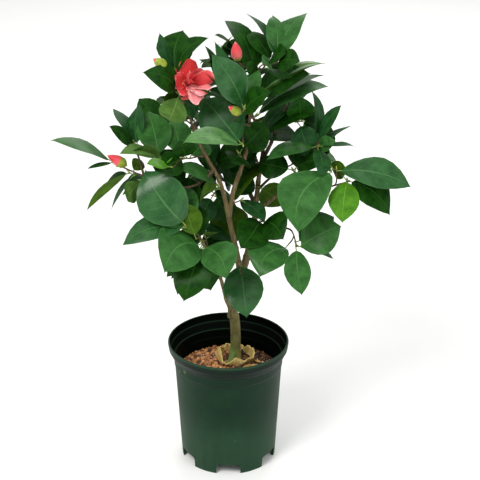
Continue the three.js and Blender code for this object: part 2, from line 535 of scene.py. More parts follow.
def mottle_group() -> PatternGroup:
    """Builds the group for uneven colour: broad patches, fine grain, and streaks along Z."""
    group = PatternGroup("Mottle", {"Place": "Vector", "Scale": "Float"}, ("Patches", "Grain", "Streaks"))
    bench, entry = group.bench, group.entry.outputs
    scaled = bench.add("VectorMath", {0: entry["Place"], 3: entry["Scale"]}, operation="SCALE").outputs[0]
    group.give("Patches", bench.noise(scaled, 1.0, 4.0, 0.55))
    group.give("Grain", bench.noise(scaled, 9.0, 5.0, 0.65))
    group.give("Streaks", bench.noise(bench.stretch(scaled, (3.0, 3.0, 0.25)), 1.6, 3.0, 0.5))
    return group


def vein_group() -> PatternGroup:
    """Builds the group for a leaf's or petal's veins, from a place along and across the blade."""
    takes = {"Place": "Vector", "Pairs": "Float", "Sweep": "Float"}
    group = PatternGroup("Veins", takes, ("Midrib", "Veins", "Cells", "Edge", "Mottle"))
    bench, place = group.bench, group.entry.outputs["Place"]
    along, across, _ = bench.part(place)
    out = bench.times(bench.reckon("ABSOLUTE", bench.less(across, 0.5)), 2.0)
    taper = bench.less(1.25, along)
    group.give("Midrib", bench.remap(bench.reckon("DIVIDE", out, taper), 0.018, 0.07, 1.0, 0.0))
    swept = bench.times(bench.reckon("POWER", out, 1.4), group.entry.outputs["Sweep"])
    rank = bench.times(bench.less(along, swept), group.entry.outputs["Pairs"])
    side = bench.times(bench.reckon("GREATER_THAN", across, 0.5), 0.45)
    wander = bench.times(bench.noise(place, 6.0, 2.0), 0.5)
    phase = bench.reckon("FRACT", bench.plus(bench.plus(rank, side), wander))
    off = bench.reckon("ABSOLUTE", bench.less(phase, 0.5))
    line = bench.remap(off, 0.02, 0.11, 1.0, 0.0)
    fade = bench.remap(out, 0.72, 0.98, 1.0, 0.0)
    group.give("Veins", bench.times(line, fade))
    net = bench.cells(bench.stretch(place, (34.0, 17.0, 1.0)), 1.0, "DISTANCE_TO_EDGE")
    group.give("Cells", bench.remap(net, 0.0, 0.3))
    group.give("Edge", bench.remap(out, 0.86, 0.99))
    group.give("Mottle", bench.noise(bench.stretch(place, (3.0, 1.6, 1.0)), 1.4, 4.0, 0.6))
    return group


# ---- Finishes ----


@dataclass(frozen=True)
class BladeSkin:
    """The skin of one side of a leaf or petal, drawn on the shared map.

    Attributes:
        name: The material's name.
        cell: Its cell of the shared map.
        deep: The colour of its darker patches.
        light: The colour of its lighter patches.
        line: The colour of its midrib and veins.
        midrib: How strongly the midrib shows.
        veins: How strongly the side veins show.
        edge: How far the colour goes towards the veins' at the margin.
        roughness: Its roughness between the veins.
        coat: The weight of its waxy coat.
        shine: How strongly it reflects without its coat.
        relief: Height of the veins over the skin in metres, below zero where they are sunk.
        pairs: How many pairs of side veins it has.
        sweep: How far the side veins sweep forwards.
    """

    name: str
    cell: int
    deep: Colour
    light: Colour
    line: Colour
    midrib: float = 0.38
    veins: float = 0.1
    edge: float = 0.1
    roughness: float = 0.36
    coat: float = 0.25
    shine: float = 0.25
    relief: float = -0.0004
    pairs: float = 8.0
    sweep: float = 0.2

    def make(self, veins: PatternGroup) -> Material:
        """Makes the material.

        Args:
            veins: The group that draws the veins.

        Returns:
            The material.
        """
        material, bench, skin = new_finish(self.name)
        place = Chart.read(bench, self.cell)
        drawn = veins.place_in(bench, {"Place": place, "Pairs": self.pairs, "Sweep": self.sweep})
        patch = bench.remap(drawn["Mottle"], 0.32, 0.68)
        colour = bench.blend(patch, self.deep, self.light)
        for output, weight in (("Edge", self.edge), ("Veins", self.veins), ("Midrib", self.midrib)):
            colour = bench.blend(bench.times(drawn[output], weight), colour, self.line)
        line = bench.reckon("MAXIMUM", bench.times(drawn["Veins"], 0.2), drawn["Midrib"])
        height = bench.plus(line, bench.times(drawn["Cells"], -0.12))
        smooth, rough = self.roughness - 0.05, self.roughness + 0.08
        bench.wire(skin, {
            "Base Color": colour,
            "Roughness": bench.remap(drawn["Mottle"], 0.3, 0.7, smooth, rough),
            "Normal": bench.bump(height, 0.8, abs(self.relief), self.relief < 0),
            "Coat Weight": self.coat,
            "Coat Roughness": 0.2,
            "Specular IOR Level": self.shine,
        })
        return material


class Tint(Enum):
    """The tints of a leaf's two sides. Each one's number is its material slot and its map cell."""

    DEEP = 0
    MID = 1
    GLOSS = 2
    COOL = 3
    BRIGHT = 4
    YOUNG = 5
    OLIVE = 6
    PALE = 7


DEEP, MID, GLOSS, COOL, BRIGHT, YOUNG, OLIVE, PALE = Tint
STALK_CELL = len(Tint)


# The deep and cool tints are partly painted shade, darker copies of the leaf green for leaves in the crown's
# shadow, and the bright tint is partly painted light and sheen; the rest of their spread is the leaves' own
# colour.
TOP_SKINS = (
    BladeSkin("leaf_deep", 0, paint(9, 46, 3), paint(26, 70, 10), paint(62, 112, 44),
              coat=0.05, shine=0.06, roughness=0.5),
    BladeSkin("leaf_mid", 1, paint(36, 80, 30), paint(54, 106, 46), paint(92, 144, 74),
              coat=0.12, shine=0.12, roughness=0.42),
    BladeSkin("leaf_gloss", 2, paint(28, 74, 32), paint(48, 96, 48), paint(96, 144, 82),
              coat=0.35, shine=0.12),
    BladeSkin("leaf_cool", 3, paint(20, 60, 24), paint(36, 82, 38), paint(86, 130, 78),
              coat=0.06, shine=0.08, roughness=0.46),
    BladeSkin("leaf_bright", 4, paint(66, 112, 56), paint(96, 144, 82), paint(136, 180, 112),
              coat=0.2, shine=0.15),
    BladeSkin("leaf_young", 5, paint(56, 110, 10), paint(78, 136, 22), paint(132, 176, 70),
              coat=0.08, shine=0.15),
)
# The olive underside is a darker copy of the pale one and is partly painted shade, for undersides seen from
# below.
UNDER_SKINS = (
    BladeSkin("underside_olive", 6, paint(46, 76, 9), paint(64, 98, 19), paint(104, 130, 52),
              roughness=0.55, coat=0.0, shine=0.08, relief=0.0003),
    BladeSkin("underside_pale", 7, paint(62, 96, 36), paint(84, 120, 52), paint(136, 164, 96),
              roughness=0.55, coat=0.0, shine=0.1, relief=0.0003),
)
STALK_SKIN = BladeSkin("leaf_stalk", STALK_CELL, paint(92, 130, 54), paint(122, 150, 70),
                       paint(130, 110, 60), midrib=0.2, roughness=0.5, coat=0.1, relief=-0.0001)


@dataclass(frozen=True)
class BarkSkin:
    """Bark whose colour changes with its height.

    Attributes:
        name: The material's name.
        tones: Pairs of a height in metres and the bark's colour there, from the foot up.
        blush: The colour of its green patches.
        green_below: The height in metres under which green patches show most.
        scale: The scale of its mottling.
    """

    name: str
    tones: tuple[tuple[float, Colour], ...]
    blush: Colour
    green_below: float
    scale: float = 90.0

    def make(self, mottle: PatternGroup) -> Material:
        """Makes the material.

        Args:
            mottle: The group that draws uneven colour.

        Returns:
            The material.
        """
        material, bench, skin = new_finish(self.name)
        place = bench.object_place()
        across, back, height = bench.part(place)
        drawn = mottle.place_in(bench, {"Place": place, "Scale": self.scale})
        low, high = self.tones[0][0], self.tones[-1][0]
        share = bench.remap(height, low, high)
        ramp = bench.add("ValToRGB", {0: share})
        ends = ramp.color_ramp.elements
        while len(ends) < len(self.tones):
            ends.new(0.5)
        for end, (level, tone) in zip(ends, self.tones):
            end.position = (level - low) / (high - low)
            end.color = tone
        colour = ramp.outputs[0]
        patch = bench.remap(drawn["Patches"], 0.35, 0.7, 0.0, 0.55)
        colour = bench.blend(patch, colour, paint(66, 46, 30))
        pale = bench.remap(drawn["Streaks"], 0.5, 0.72, 0.0, 0.45)
        colour = bench.blend(pale, colour, paint(168, 152, 118))
        front = bench.remap(bench.less(bench.times(back, -1.0), across), -0.032, -0.018)
        foot = bench.remap(height, self.green_below, self.green_below + 0.03, 1.0, 0.0)
        uneven = bench.remap(drawn["Patches"], 0.3, 0.6, 1.0, 0.55)
        green = bench.times(bench.times(front, foot), uneven)
        colour = bench.blend(green, colour, self.blush)
        dots = bench.cells(bench.stretch(place, (1.0, 1.0, 0.55)), 260.0)
        pore = bench.times(bench.remap(dots, 0.16, 0.3, 1.0, 0.0), bench.remap(drawn["Grain"], 0.52, 0.6))
        colour = bench.blend(bench.times(pore, 0.75), colour, paint(50, 36, 24))
        bench.wire(skin, {
            "Base Color": colour,
            "Roughness": bench.remap(drawn["Grain"], 0.3, 0.7, 0.62, 0.88),
            "Normal": bench.bump(bench.plus(drawn["Grain"], bench.times(pore, 0.5)), 0.7, 0.0005),
        })
        return material


@dataclass(frozen=True)
class GrainSkin:
    """A plain rough matter of two colours, such as soil crumbs or fibre.

    Attributes:
        name: The material's name.
        dark: The colour of its darker grain.
        light: The colour of its lighter grain.
        scale: The scale of its mottling.
        stretch: How its pattern is stretched along each axis.
        roughness: Its roughness.
        relief: Height of its relief in metres.
    """

    name: str
    dark: Colour
    light: Colour
    scale: float = 160.0
    stretch: Triple = (1.0, 1.0, 1.0)
    roughness: float = 0.9
    relief: float = 0.0005

    def make(self, mottle: PatternGroup) -> Material:
        """Makes the material.

        Args:
            mottle: The group that draws uneven colour.

        Returns:
            The material.
        """
        material, bench, skin = new_finish(self.name)
        place = bench.stretch(bench.object_place(), self.stretch)
        drawn = mottle.place_in(bench, {"Place": place, "Scale": self.scale})
        both = bench.plus(drawn["Patches"], bench.times(drawn["Grain"], 0.7))
        bench.wire(skin, {
            "Base Color": bench.blend(bench.remap(both, 0.62, 1.08), self.dark, self.light),
            "Roughness": bench.remap(drawn["Patches"], 0.3, 0.7, self.roughness - 0.12, self.roughness),
            "Normal": bench.bump(drawn["Grain"], 0.8, self.relief),
        })
        return material


@dataclass(frozen=True)
class PotPlastic:
    """Dark green moulded plastic, dusty, with water marks inside, and with bands round it that paint in
    shade and highlights.

    Attributes:
        name: The material's name.
        green: The plastic's own colour.
        worn: The colour of rubbed and dusty places.
        dust: The colour of dried water marks.
        rim: Height of the rim in metres.
        bands: Low and high end in metres, weight and colour of bands round it, mostly painted shade and
            painted highlights along the rib lines and the lip.
        shine: How strongly it reflects.
    """

    name: str
    green: Colour
    worn: Colour
    dust: Colour
    rim: float
    bands: tuple[tuple[float, float, float, Colour], ...] = ()
    shine: float = 0.15

    def make(self, mottle: PatternGroup) -> Material:
        """Makes the material.

        Args:
            mottle: The group that draws uneven colour.

        Returns:
            The material.
        """
        material, bench, skin = new_finish(self.name)
        place = bench.object_place()
        _, _, height = bench.part(place)
        drawn = mottle.place_in(bench, {"Place": place, "Scale": 26.0})
        patch = bench.remap(drawn["Patches"], 0.38, 0.72, 0.0, 0.5)
        colour = bench.blend(patch, self.green, self.worn)
        foot = bench.remap(height, 0.0, 0.4 * self.rim, 0.14, 0.0)
        streak = bench.remap(drawn["Streaks"], 0.45, 0.75, 0.0, 0.6)
        colour = bench.blend(bench.times(foot, streak), colour, self.dust)
        edge = bench.remap(height, self.rim - 0.004, self.rim - 0.0005, 0.0, 0.45)
        colour = bench.blend(edge, colour, self.worn)
        for low, high, weight, tone in self.bands:
            soft = 0.25 * (high - low)
            under = bench.remap(height, low - soft, low + soft)
            over = bench.remap(height, high - soft, high + soft, weight, 0.0)
            colour = bench.blend(bench.times(under, over), colour, tone)
        spot = bench.remap(bench.cells(place, 55.0), 0.05, 0.22, 1.0, 0.0)
        rare = bench.remap(drawn["Patches"], 0.6, 0.68)
        colour = bench.blend(bench.times(bench.times(spot, rare), 0.5), colour, self.dust)
        bench.wire(skin, {
            "Base Color": colour,
            "Roughness": bench.remap(drawn["Patches"], 0.3, 0.7, 0.44, 0.58),
            "Normal": bench.bump(drawn["Grain"], 0.25, 0.0004),
            "Specular IOR Level": self.shine,
        })
        return material


@dataclass
class Finishes:
    """Every finish of the plant, made once.

    Attributes:
        mottle: The group for uneven colour.
        veins: The group for veins.
    """

    mottle: PatternGroup = field(default_factory=mottle_group)
    veins: PatternGroup = field(default_factory=vein_group)

    def leaves(self) -> list[Material]:
        """Gives the leaf materials, in slot order."""
        return [skin.make(self.veins) for skin in (*TOP_SKINS, *UNDER_SKINS, STALK_SKIN)]


# ---- Wood ----


def through(
    places: Sequence[Vector], sizes: Sequence[float], step: float
) -> tuple[list[Vector], list[float]]:
    """Runs a smooth line through places, with a size that changes evenly between them.

    Args:
        places: The places to pass through.
        sizes: The size at each place.
        step: The length of its steps, in metres.

    Returns:
        The line's points and the size at each.
    """
    line: list[Vector] = []
    spread: list[float] = []
    last = len(places) - 1
    for index in range(last):
        before, start = places[max(index - 1, 0)], places[index]
        end, after = places[index + 1], places[min(index + 2, last)]
        steps = max(1, round((end - start).length / step))
        for part in range(steps):
            share = part / steps
            line.append(
                0.5 * (2 * start + (end - before) * share
                       + (2 * before - 5 * start + 4 * end - after) * share**2
                       + (3 * start - before - 3 * end + after) * share**3)
            )
            spread.append(sizes[index] + (sizes[index + 1] - sizes[index]) * share)
    return line + [places[-1]], spread + [sizes[-1]]


@dataclass
class Limb:
    """One woody limb: its centre line and its radius along it, in metres.

    Attributes:
        name: The limb's name.
        route: The points of its centre line, from its foot to its tip.
        radii: Its radius at each point.
    """

    name: str
    route: list[Vector]
    radii: list[float]

    RING_GAP = 4.0 * MM
    STEP = 1.6 * MM
    ROOT = 4.0 * MM
    SCAR_SPACING = 21.0 * MM
    SCAR_LENGTH = 1.5 * MM
    SCAR_SWELL = 0.17

    @classmethod
    def of_node(cls, node: Piece, heart: Vector) -> Limb:
        """Reads a limb's centre line off its node, whose vertices lie in rings across it.

        Args:
            node: The limb's node in the frame.
            heart: A point on the trunk, which the limb's foot is nearer to than its tip.

        Returns:
            The limb, with its foot sunk a little into what it grows from.
        """
        points = np.unique(np.round([tuple(v.co) for v in node.data.vertices], 6), axis=0)
        centred = points - points.mean(0)
        along = centred @ np.linalg.svd(centred, full_matrices=False)[2][0]
        order = np.argsort(along)
        breaks = np.nonzero(np.diff(along[order]) > cls.RING_GAP)[0] + 1
        rings = [points[group] for group in np.split(order, breaks)]
        route = [Vector(ring.mean(0)) for ring in rings]
        radii = [float(np.linalg.norm(ring - ring.mean(0), axis=1).mean()) for ring in rings]
        if (route[0] - heart).xy.length > (route[-1] - heart).xy.length:
            route.reverse()
            radii.reverse()
        thick, tip, last = max(radii[:2]), min(radii[1:]), len(route) - 1
        taper = [thick + (tip - thick) * index / last for index in range(last + 1)]
        foot = route[0] - cls.ROOT * (route[1] - route[0]).normalized()
        route, sizes = through([foot, *route], [taper[0], *taper], cls.STEP)
        return cls(node.name, route, sizes)

    def way(self, index: int) -> Vector:
        """Gives the unit direction of growth at a point of the route."""
        last = len(self.route) - 1
        return (self.route[min(index + 1, last)] - self.route[max(index - 1, 0)]).normalized()

    def scarred(self, chance: random.Random) -> Limb:
        """Gives the limb with a slight swelling at each old leaf scar."""
        start = chance.uniform(0.3, 0.9) * self.SCAR_SPACING
        travelled, sizes = 0.0, []
        for index, radius in enumerate(self.radii):
            if index:
                travelled += (self.route[index] - self.route[index - 1]).length
            off = (travelled - start + self.SCAR_SPACING / 2) % self.SCAR_SPACING - self.SCAR_SPACING / 2
            sizes.append(radius * (1.0 + self.SCAR_SWELL * math.exp(-((off / self.SCAR_LENGTH) ** 2))))
        return Limb(self.name, self.route, sizes)

    def model(self) -> Piece:
        """Models the limb as a round bar along its route."""
        clear_selection()
        bpy.ops.curve.primitive_nurbs_path_add()
        piece = bpy.context.object
        piece.data.splines.clear()
        spline = piece.data.splines.new("POLY")
        spline.points.add(len(self.route) - 1)
        for point, place, radius in zip(spline.points, self.route, self.radii):
            point.co = (*place, 1.0)
            point.radius = radius
        piece.data.bevel_depth = 1.0
        piece.data.bevel_resolution = 3
        piece.data.use_fill_caps = True
        take_up(piece)
        bpy.ops.object.convert(target="MESH")
        close_up(piece)
        return piece


@dataclass
class Wood:
    """The trunk, stems and boughs, with the twigs that the sprays hang on.

    Attributes:
        nodes: The frame's nodes.
        finishes: The plant's finishes.
        seed: The seed of its unevenness.
    """

    nodes: dict[str, Piece]
    finishes: Finishes
    seed: int = 5
    limbs: list[Limb] = field(default_factory=list)
    twigs: list[Limb] = field(default_factory=list)

    CUTS = {"bough_front_upper": 6}
    LEVEL_SPAN = 2.0 * MM
    LEVEL_GAP = 4.0 * MM
    RING_LEAST = 5
    VOXEL = 0.65 * MM
    TWIG_STEP = 3.0 * MM
    TWIG_SIDES = 8
    TWIG_END = 0.95
    TWIG_COST = 8.0 * MM
    SITS_WITHIN = 5.0 * MM
    LIFT = 0.3

    def __post_init__(self) -> None:
        """Reads the limbs off the frame."""
        low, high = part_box("trunk")
        heart = (low + high) / 2
        names = [name for name in self.nodes if name.startswith(("stem_", "bough_"))]
        self.limbs = [Limb.of_node(self.nodes[name], heart) for name in sorted(names)]
        for limb in self.limbs:
            kept = len(limb.route) - self.CUTS.get(limb.name, 0)
            del limb.route[kept:], limb.radii[kept:]

    def trunk(self) -> Limb:
        """Reads the trunk off the frame, flared at its foot."""
        node = self.nodes["trunk"]
        points = np.array([tuple(v.co) for v in node.data.vertices])
        levels = np.unique(np.round(points[:, 2], 3))
        route, radii = [], []
        for level in levels:
            ring = points[np.abs(points[:, 2] - level) < self.LEVEL_SPAN]
            if len(ring) < self.RING_LEAST:
                continue
            centre = ring.mean(0)
            if route and centre[2] - route[-1].z < self.LEVEL_GAP:
                continue
            route.append(Vector(centre))
            radii.append(float(np.linalg.norm((ring - centre)[:, :2], axis=1).mean()))
        line, sizes = through(route, radii, Limb.STEP)
        return Limb("trunk", line, sizes)

    def stub(self, *places: Triple, radius: float) -> Limb:
        """Makes a short piece of wood through places, all in millimetres."""
        route = [MM * Vector(place) for place in places]
        return Limb("stub", *through(route, [radius * MM] * len(places), Limb.STEP))

    def carve(self, pieces: Sequence[Piece], name: str, depth: float) -> Piece:
        """Blends limbs into one skin and gives it the bark's relief.

        Args:
            pieces: The limbs' bars.
            name: The new piece's name.
            depth: The depth of its coarse relief, in metres.

        Returns:
            The piece.
        """
        wood = join(pieces, name)
        apply_modifier(wood, "REMESH", mode="VOXEL", voxel_size=self.VOXEL)
        apply_modifier(wood, "SMOOTH", factor=0.5, iterations=4)
        clear_selection()
        bpy.ops.object.empty_add()
        grain = bpy.context.object
        grain.scale = (1.0, 1.0, 4.0)
        bpy.context.view_layer.update()
        ridges = texture(name + "_ridges", "CLOUDS", noise_scale=3.2 * MM, noise_depth=2)
        pits = texture(name + "_pits", "CLOUDS", noise_scale=1.4 * MM, noise_depth=1)
        apply_modifier(wood, "DISPLACE", texture=ridges, texture_coords="OBJECT",
                       texture_coords_object=grain, strength=depth)
        apply_modifier(wood, "DISPLACE", texture=pits, strength=0.4 * depth)
        bpy.data.objects.remove(grain)
        take_up(wood)
        bpy.ops.object.shade_smooth()
        return wood

    def branch(self, tip: Vector, lift: float) -> Limb | None:
        """Grows a twig to a spray from the limb or twig that reaches it most easily.

        Args:
            tip: The spray's place.
            lift: How much the twig turns up at its tip.

        Returns:
            The twig, or None where the spray sits on the end of a limb.
        """
        best, parent, start = math.inf, None, 0
        for limb in (*self.limbs, *self.twigs):
            for index in range(2, len(limb.route)):
                reach = tip - limb.route[index]
                if reach.length < self.SITS_WITHIN:
                    return None
                agree = limb.way(index).dot(reach.normalized())
                cost = reach.length * (1.9 - agree) + (self.TWIG_COST if limb in self.twigs else 0.0)
                if cost < best:
                    best, parent, start = cost, limb, index
        foot, way = parent.route[start], parent.way(start)
        reach = tip - foot
        out = (0.8 * way + reach.normalized()).normalized()
        home = (reach.normalized() + lift * UP).normalized()
        steps = max(4, round(reach.length / self.TWIG_STEP))
        thick = min(0.8 * parent.radii[start], (self.TWIG_END + 7.0 * reach.length) * MM)
        sizes = [thick + (self.TWIG_END * MM - thick) * step / steps for step in range(steps + 1)]
        return Limb("twig", bend(foot, out, tip, home, steps), sizes)

    def end_way(self, tip: Vector, twig: Limb | None) -> Vector:
        """Gives the direction in which a spray's wood ends.

        Args:
            tip: The spray's place.
            twig: Its twig, or None where it sits on the limb or twig nearest to it.

        Returns:
            The unit direction.
        """
        if twig:
            return twig.way(len(twig.route) - 1)
        sticks = (*self.limbs, *self.twigs)
        _, stick, point = min(
            ((spot - tip).length, number, index)
            for number, stick in enumerate(sticks)
            for index, spot in enumerate(stick.route)
        )
        return sticks[stick].way(point)

    def arrive(self, tip: Vector) -> Vector:
        """Joins a spray to the wood and gives the direction in which its wood ends."""
        twig = self.branch(tip, self.LIFT)
        way = self.end_way(tip, twig)
        if twig:
            self.twigs.append(twig)
        return way

    def build(self) -> list[Piece]:
        """Models the trunk with its stems, the boughs, and the twigs.

        Returns:
            The three pieces.
        """
        chance = random.Random(self.seed)
        stems = [limb for limb in self.limbs if limb.name.startswith("stem_")]
        boughs = [limb for limb in self.limbs if limb.name.startswith("bough_")]
        fork = self.stub((10, 19, 212), (16, 15, 226), radius=4.0)
        knob = self.stub((-13, -5, 409), (-8, -9, 413), radius=1.9)
        toe = self.stub((8, 21, 150), (3, 8, 134.5), (-1, 1, 132.5), radius=5.0)
        bars = [limb.model() for limb in (self.trunk(), fork, knob, toe)]
        bars += [limb.scarred(chance).model() for limb in stems]
        trunk = self.carve(bars, "trunk_and_stems", 0.9 * MM)
        sticks = self.carve([limb.scarred(chance).model() for limb in boughs], "boughs", 0.35 * MM)
        batch = Batch()
        for twig in self.twigs:
            points, faces, _ = sweep(twig.route, twig.scarred(chance).radii, self.TWIG_SIDES)
            batch.add(points, faces, 0)
        trunk_bark = BarkSkin(
            "trunk_bark",
            ((0.134, paint(124, 122, 68)), (0.21, paint(120, 112, 64)), (0.28, paint(90, 80, 42)),
             (0.36, paint(110, 98, 52)), (0.56, paint(84, 62, 34))),
            paint(84, 124, 44), 0.150,
        ).make(self.finishes.mottle)
        twig_bark = BarkSkin(
            "twig_bark",
            ((0.27, paint(88, 76, 40)), (0.40, paint(76, 62, 32)), (0.56, paint(72, 54, 30))),
            paint(96, 116, 56), 0.1, scale=120.0,
        ).make(self.finishes.mottle)
        trunk.data.materials.append(trunk_bark)
        sticks.data.materials.append(twig_bark)
        twigs = batch.build("twigs", [twig_bark], 60.0)
        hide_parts("trunk", *(limb.name for limb in stems))
        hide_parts(*(limb.name for limb in boughs))
        return [trunk, sticks, twigs]


# ---- Leaves and petals ----


@dataclass(frozen=True)
class Bends:
    """How far one blade is from flat. Angles are in radians, and lengths are shares of the width.

    Attributes:
        arch: How far it bends down from its base to its tip.
        curl: How much further its last part bends down.
        fold: How steeply each half rises from the midrib.
        recurve: How far each half rolls back down towards its margin.
        twist: How far it turns about its own length.
        wave: The depth of its margin's waves.
        phase: Where the waves start.
        sway: How far its middle bends to its left, in metres.
    """

    arch: float = 0.3
    curl: float = 0.0
    fold: float = 0.25
    recurve: float = 0.3
    twist: float = 0.0
    wave: float = 0.0
    phase: float = 0.0
    sway: float = 0.0


def leaf_outline(along: float) -> float:
    """Gives a leaf's width along it, as a share of its greatest: oval, with a drawn-out tip."""
    body = math.sin(math.pi * min(1.0, along / 0.95) ** 0.94) ** 0.74
    tail = 0.7 * (1.0 - along) if along > 0.5 else 0.0
    return (body**3 + tail**3) ** (1 / 3)


def petal_outline(along: float) -> float:
    """Gives a petal's width along it: a narrow claw and a broad round end."""
    return (math.sin(math.pi * along**1.25) ** 0.55) * (0.55 + 0.45 * along)


@dataclass(frozen=True)
class Blade:
    """The grid that leaves or petals are made from.

    Attributes:
        outline: Gives the width along the blade, as a share of its greatest.
        stations: Where its rows are, from its base at 0 to its tip at 1.
        columns: Where its columns are, from one margin at -1 to the other at 1.
        thickness: Its thickness in the middle, in metres.
        groove: How deep its midrib is sunk, in metres.
    """

    outline: Callable[[float], float]
    stations: tuple[float, ...]
    columns: tuple[float, ...]
    thickness: float
    groove: float

    FINE = np.linspace(0.0, 1.0, 31)
    CURL_FROM = 0.55
    WAVES = 9.5

    def index(self, row: int, column: int, under: bool) -> int:
        """Gives the number of a grid vertex. Both sides share those at the margins."""
        rows, columns = len(self.stations), len(self.columns)
        if under and 0 < column < columns - 1:
            return 2 + rows * columns + row * (columns - 2) + column - 1
        return 2 + row * columns + column

    def faces(self, top: int, under: int) -> tuple[list[Face], list[Pair]]:
        """Gives the faces of both sides with their places on the shared map.

        Args:
            top: The map cell of the upper side.
            under: The map cell of the underside.

        Returns:
            The faces, and a map place for each of their corners.
        """
        faces: list[Face] = []
        corners: list[Pair] = []
        last = len(self.stations) - 1
        for below, cell in ((False, top), (True, under)):
            for column in range(len(self.columns) - 1):
                left, right = (self.columns[column] + 1) / 2, (self.columns[column + 1] + 1) / 2
                first, final = self.stations[0], self.stations[-1]
                cells = [
                    ((0, self.index(0, column, below), self.index(0, column + 1, below)),
                     ((0.0, 0.5), (first, left), (first, right))),
                    ((self.index(last, column, below), 1, self.index(last, column + 1, below)),
                     ((final, left), (1.0, 0.5), (final, right))),
                ]
                for row in range(last):
                    low, high = self.stations[row], self.stations[row + 1]
                    ends = (self.index(row, column, below), self.index(row + 1, column, below),
                            self.index(row + 1, column + 1, below), self.index(row, column + 1, below))
                    spots = ((low, left), (high, left), (high, right), (low, right))
                    cells.append((ends[:3], spots[:3]))
                    cells.append(((ends[0], ends[2], ends[3]), (spots[0], spots[2], spots[3])))
                for face, places in cells:
                    order = (2, 1, 0) if below else (0, 1, 2)
                    faces.append(tuple(face[step] for step in order))
                    corners += [Chart.place(cell, *places[step]) for step in order]
        return faces, corners

    def pose(self, base: Vector, tip: Vector, normal: Vector, width: float, bends: Bends) -> np.ndarray:
        """Places the blade's vertices.

        Args:
            base: Where the blade starts.
            tip: Where it ends.
            normal: The side that its top faces.
            width: Its greatest width, in metres.
            bends: How far it is from flat.

        Returns:
            Its vertices.
        """
        chord = tip - base
        way = chord.normalized()
        up = square_to(way, normal)
        side = up.cross(way)
        fine = self.FINE
        curled = np.clip((fine - self.CURL_FROM) / (1.0 - self.CURL_FROM), 0.0, None)
        angle = bends.arch * (0.5 - fine) - bends.curl * curled**2
        middle = (angle[1:] + angle[:-1]) / 2
        run = np.concatenate(([0.0], np.cumsum(np.cos(middle))))
        lift = np.concatenate(([0.0], np.cumsum(np.sin(middle))))
        lean = math.atan2(lift[-1], run[-1])
        scale = chord.length / math.hypot(run[-1], lift[-1])
        ahead = scale * (run * math.cos(lean) + lift * math.sin(lean))
        above = scale * (lift * math.cos(lean) - run * math.sin(lean))
        roll = max(abs(bends.recurve), 1e-4) * (1 if bends.recurve >= 0 else -1)
        tops: list[Vector] = []
        unders: list[Vector] = []
        for along in self.stations:
            tilt = float(np.interp(along, fine, angle)) - lean
            centre = base + float(np.interp(along, fine, ahead)) * way
            centre += float(np.interp(along, fine, above)) * up
            centre += 4.0 * bends.sway * along * (1.0 - along) * side
            level = math.cos(tilt) * up - math.sin(tilt) * way
            turn = bends.twist * (along - 0.5)
            across = math.cos(turn) * side + math.sin(turn) * level
            above_skin = math.cos(turn) * level - math.sin(turn) * side
            half = 0.5 * width * self.outline(along)
            rise = bends.fold * (1.0 - 0.4 * along)
            for column in self.columns:
                out = abs(column)
                reach = half * (math.sin(rise) - math.sin(rise - roll * out)) / roll
                height = half * (math.cos(rise - roll * out) - math.cos(rise)) / roll
                ripple = math.sin(self.WAVES * along + bends.phase * (1.0 if column > 0 else 2.3))
                height += bends.wave * width * out**2 * ripple
                place = centre + math.copysign(reach, column) * across + height * above_skin
                sunk = self.groove * (1.0 - along) if out < 0.05 else 0.0
                body = 0.5 * self.thickness * (1.0 - out**4)
                tops.append(place + (body - sunk) * above_skin)
                if out < 1.0:
                    unders.append(place - (body + 1.4 * sunk) * above_skin)
        return np.array([base, tip, *tops, *unders])


LEAF_BLADE = Blade(
    leaf_outline,
    (0.05, 0.14, 0.26, 0.39, 0.52, 0.65, 0.77, 0.86, 0.92, 0.965),
    (-1.0, -0.55, 0.0, 0.55, 1.0),
    0.45 * MM,
    0.45 * MM,
)
PETAL_BLADE = Blade(
    petal_outline,
    (0.04, 0.12, 0.22, 0.33, 0.44, 0.55, 0.66, 0.76, 0.85, 0.92, 0.965, 0.99),
    (-1.0, -0.8, -0.55, -0.28, 0.0, 0.28, 0.55, 0.8, 1.0),
    0.5 * MM,
    0.0,
)


class Leaf(NamedTuple):
    """One leaf of a spray.

    Attributes:
        bearing: The bearing of its tip from the spray's node, in degrees.
        rise: The rise of its tip, in degrees.
        reach: The distance from the node to its tip, in millimetres.
        width: Its greatest width, in millimetres.
        turn: How far it is turned about its own length, in degrees. Past 90 its underside is up.
        tint: The tint of the side that is up.
        arch: How far it arches, in radians, or None for a usual arch.
        sway: How far its middle bends to its left, in millimetres.
    """

    bearing: float
    rise: float
    reach: float
    width: float
    turn: float
    tint: Tint
    arch: float | None = None
    sway: float = 0.0


class Spray(NamedTuple):
    """A tuft of leaves at the end of a twig.

    Attributes:
        name: What it is called.
        place: Its node, in millimetres.
        leaves: Its leaves, from the end of the twig back.
    """

    name: str
    place: Triple
    leaves: tuple[Leaf, ...]


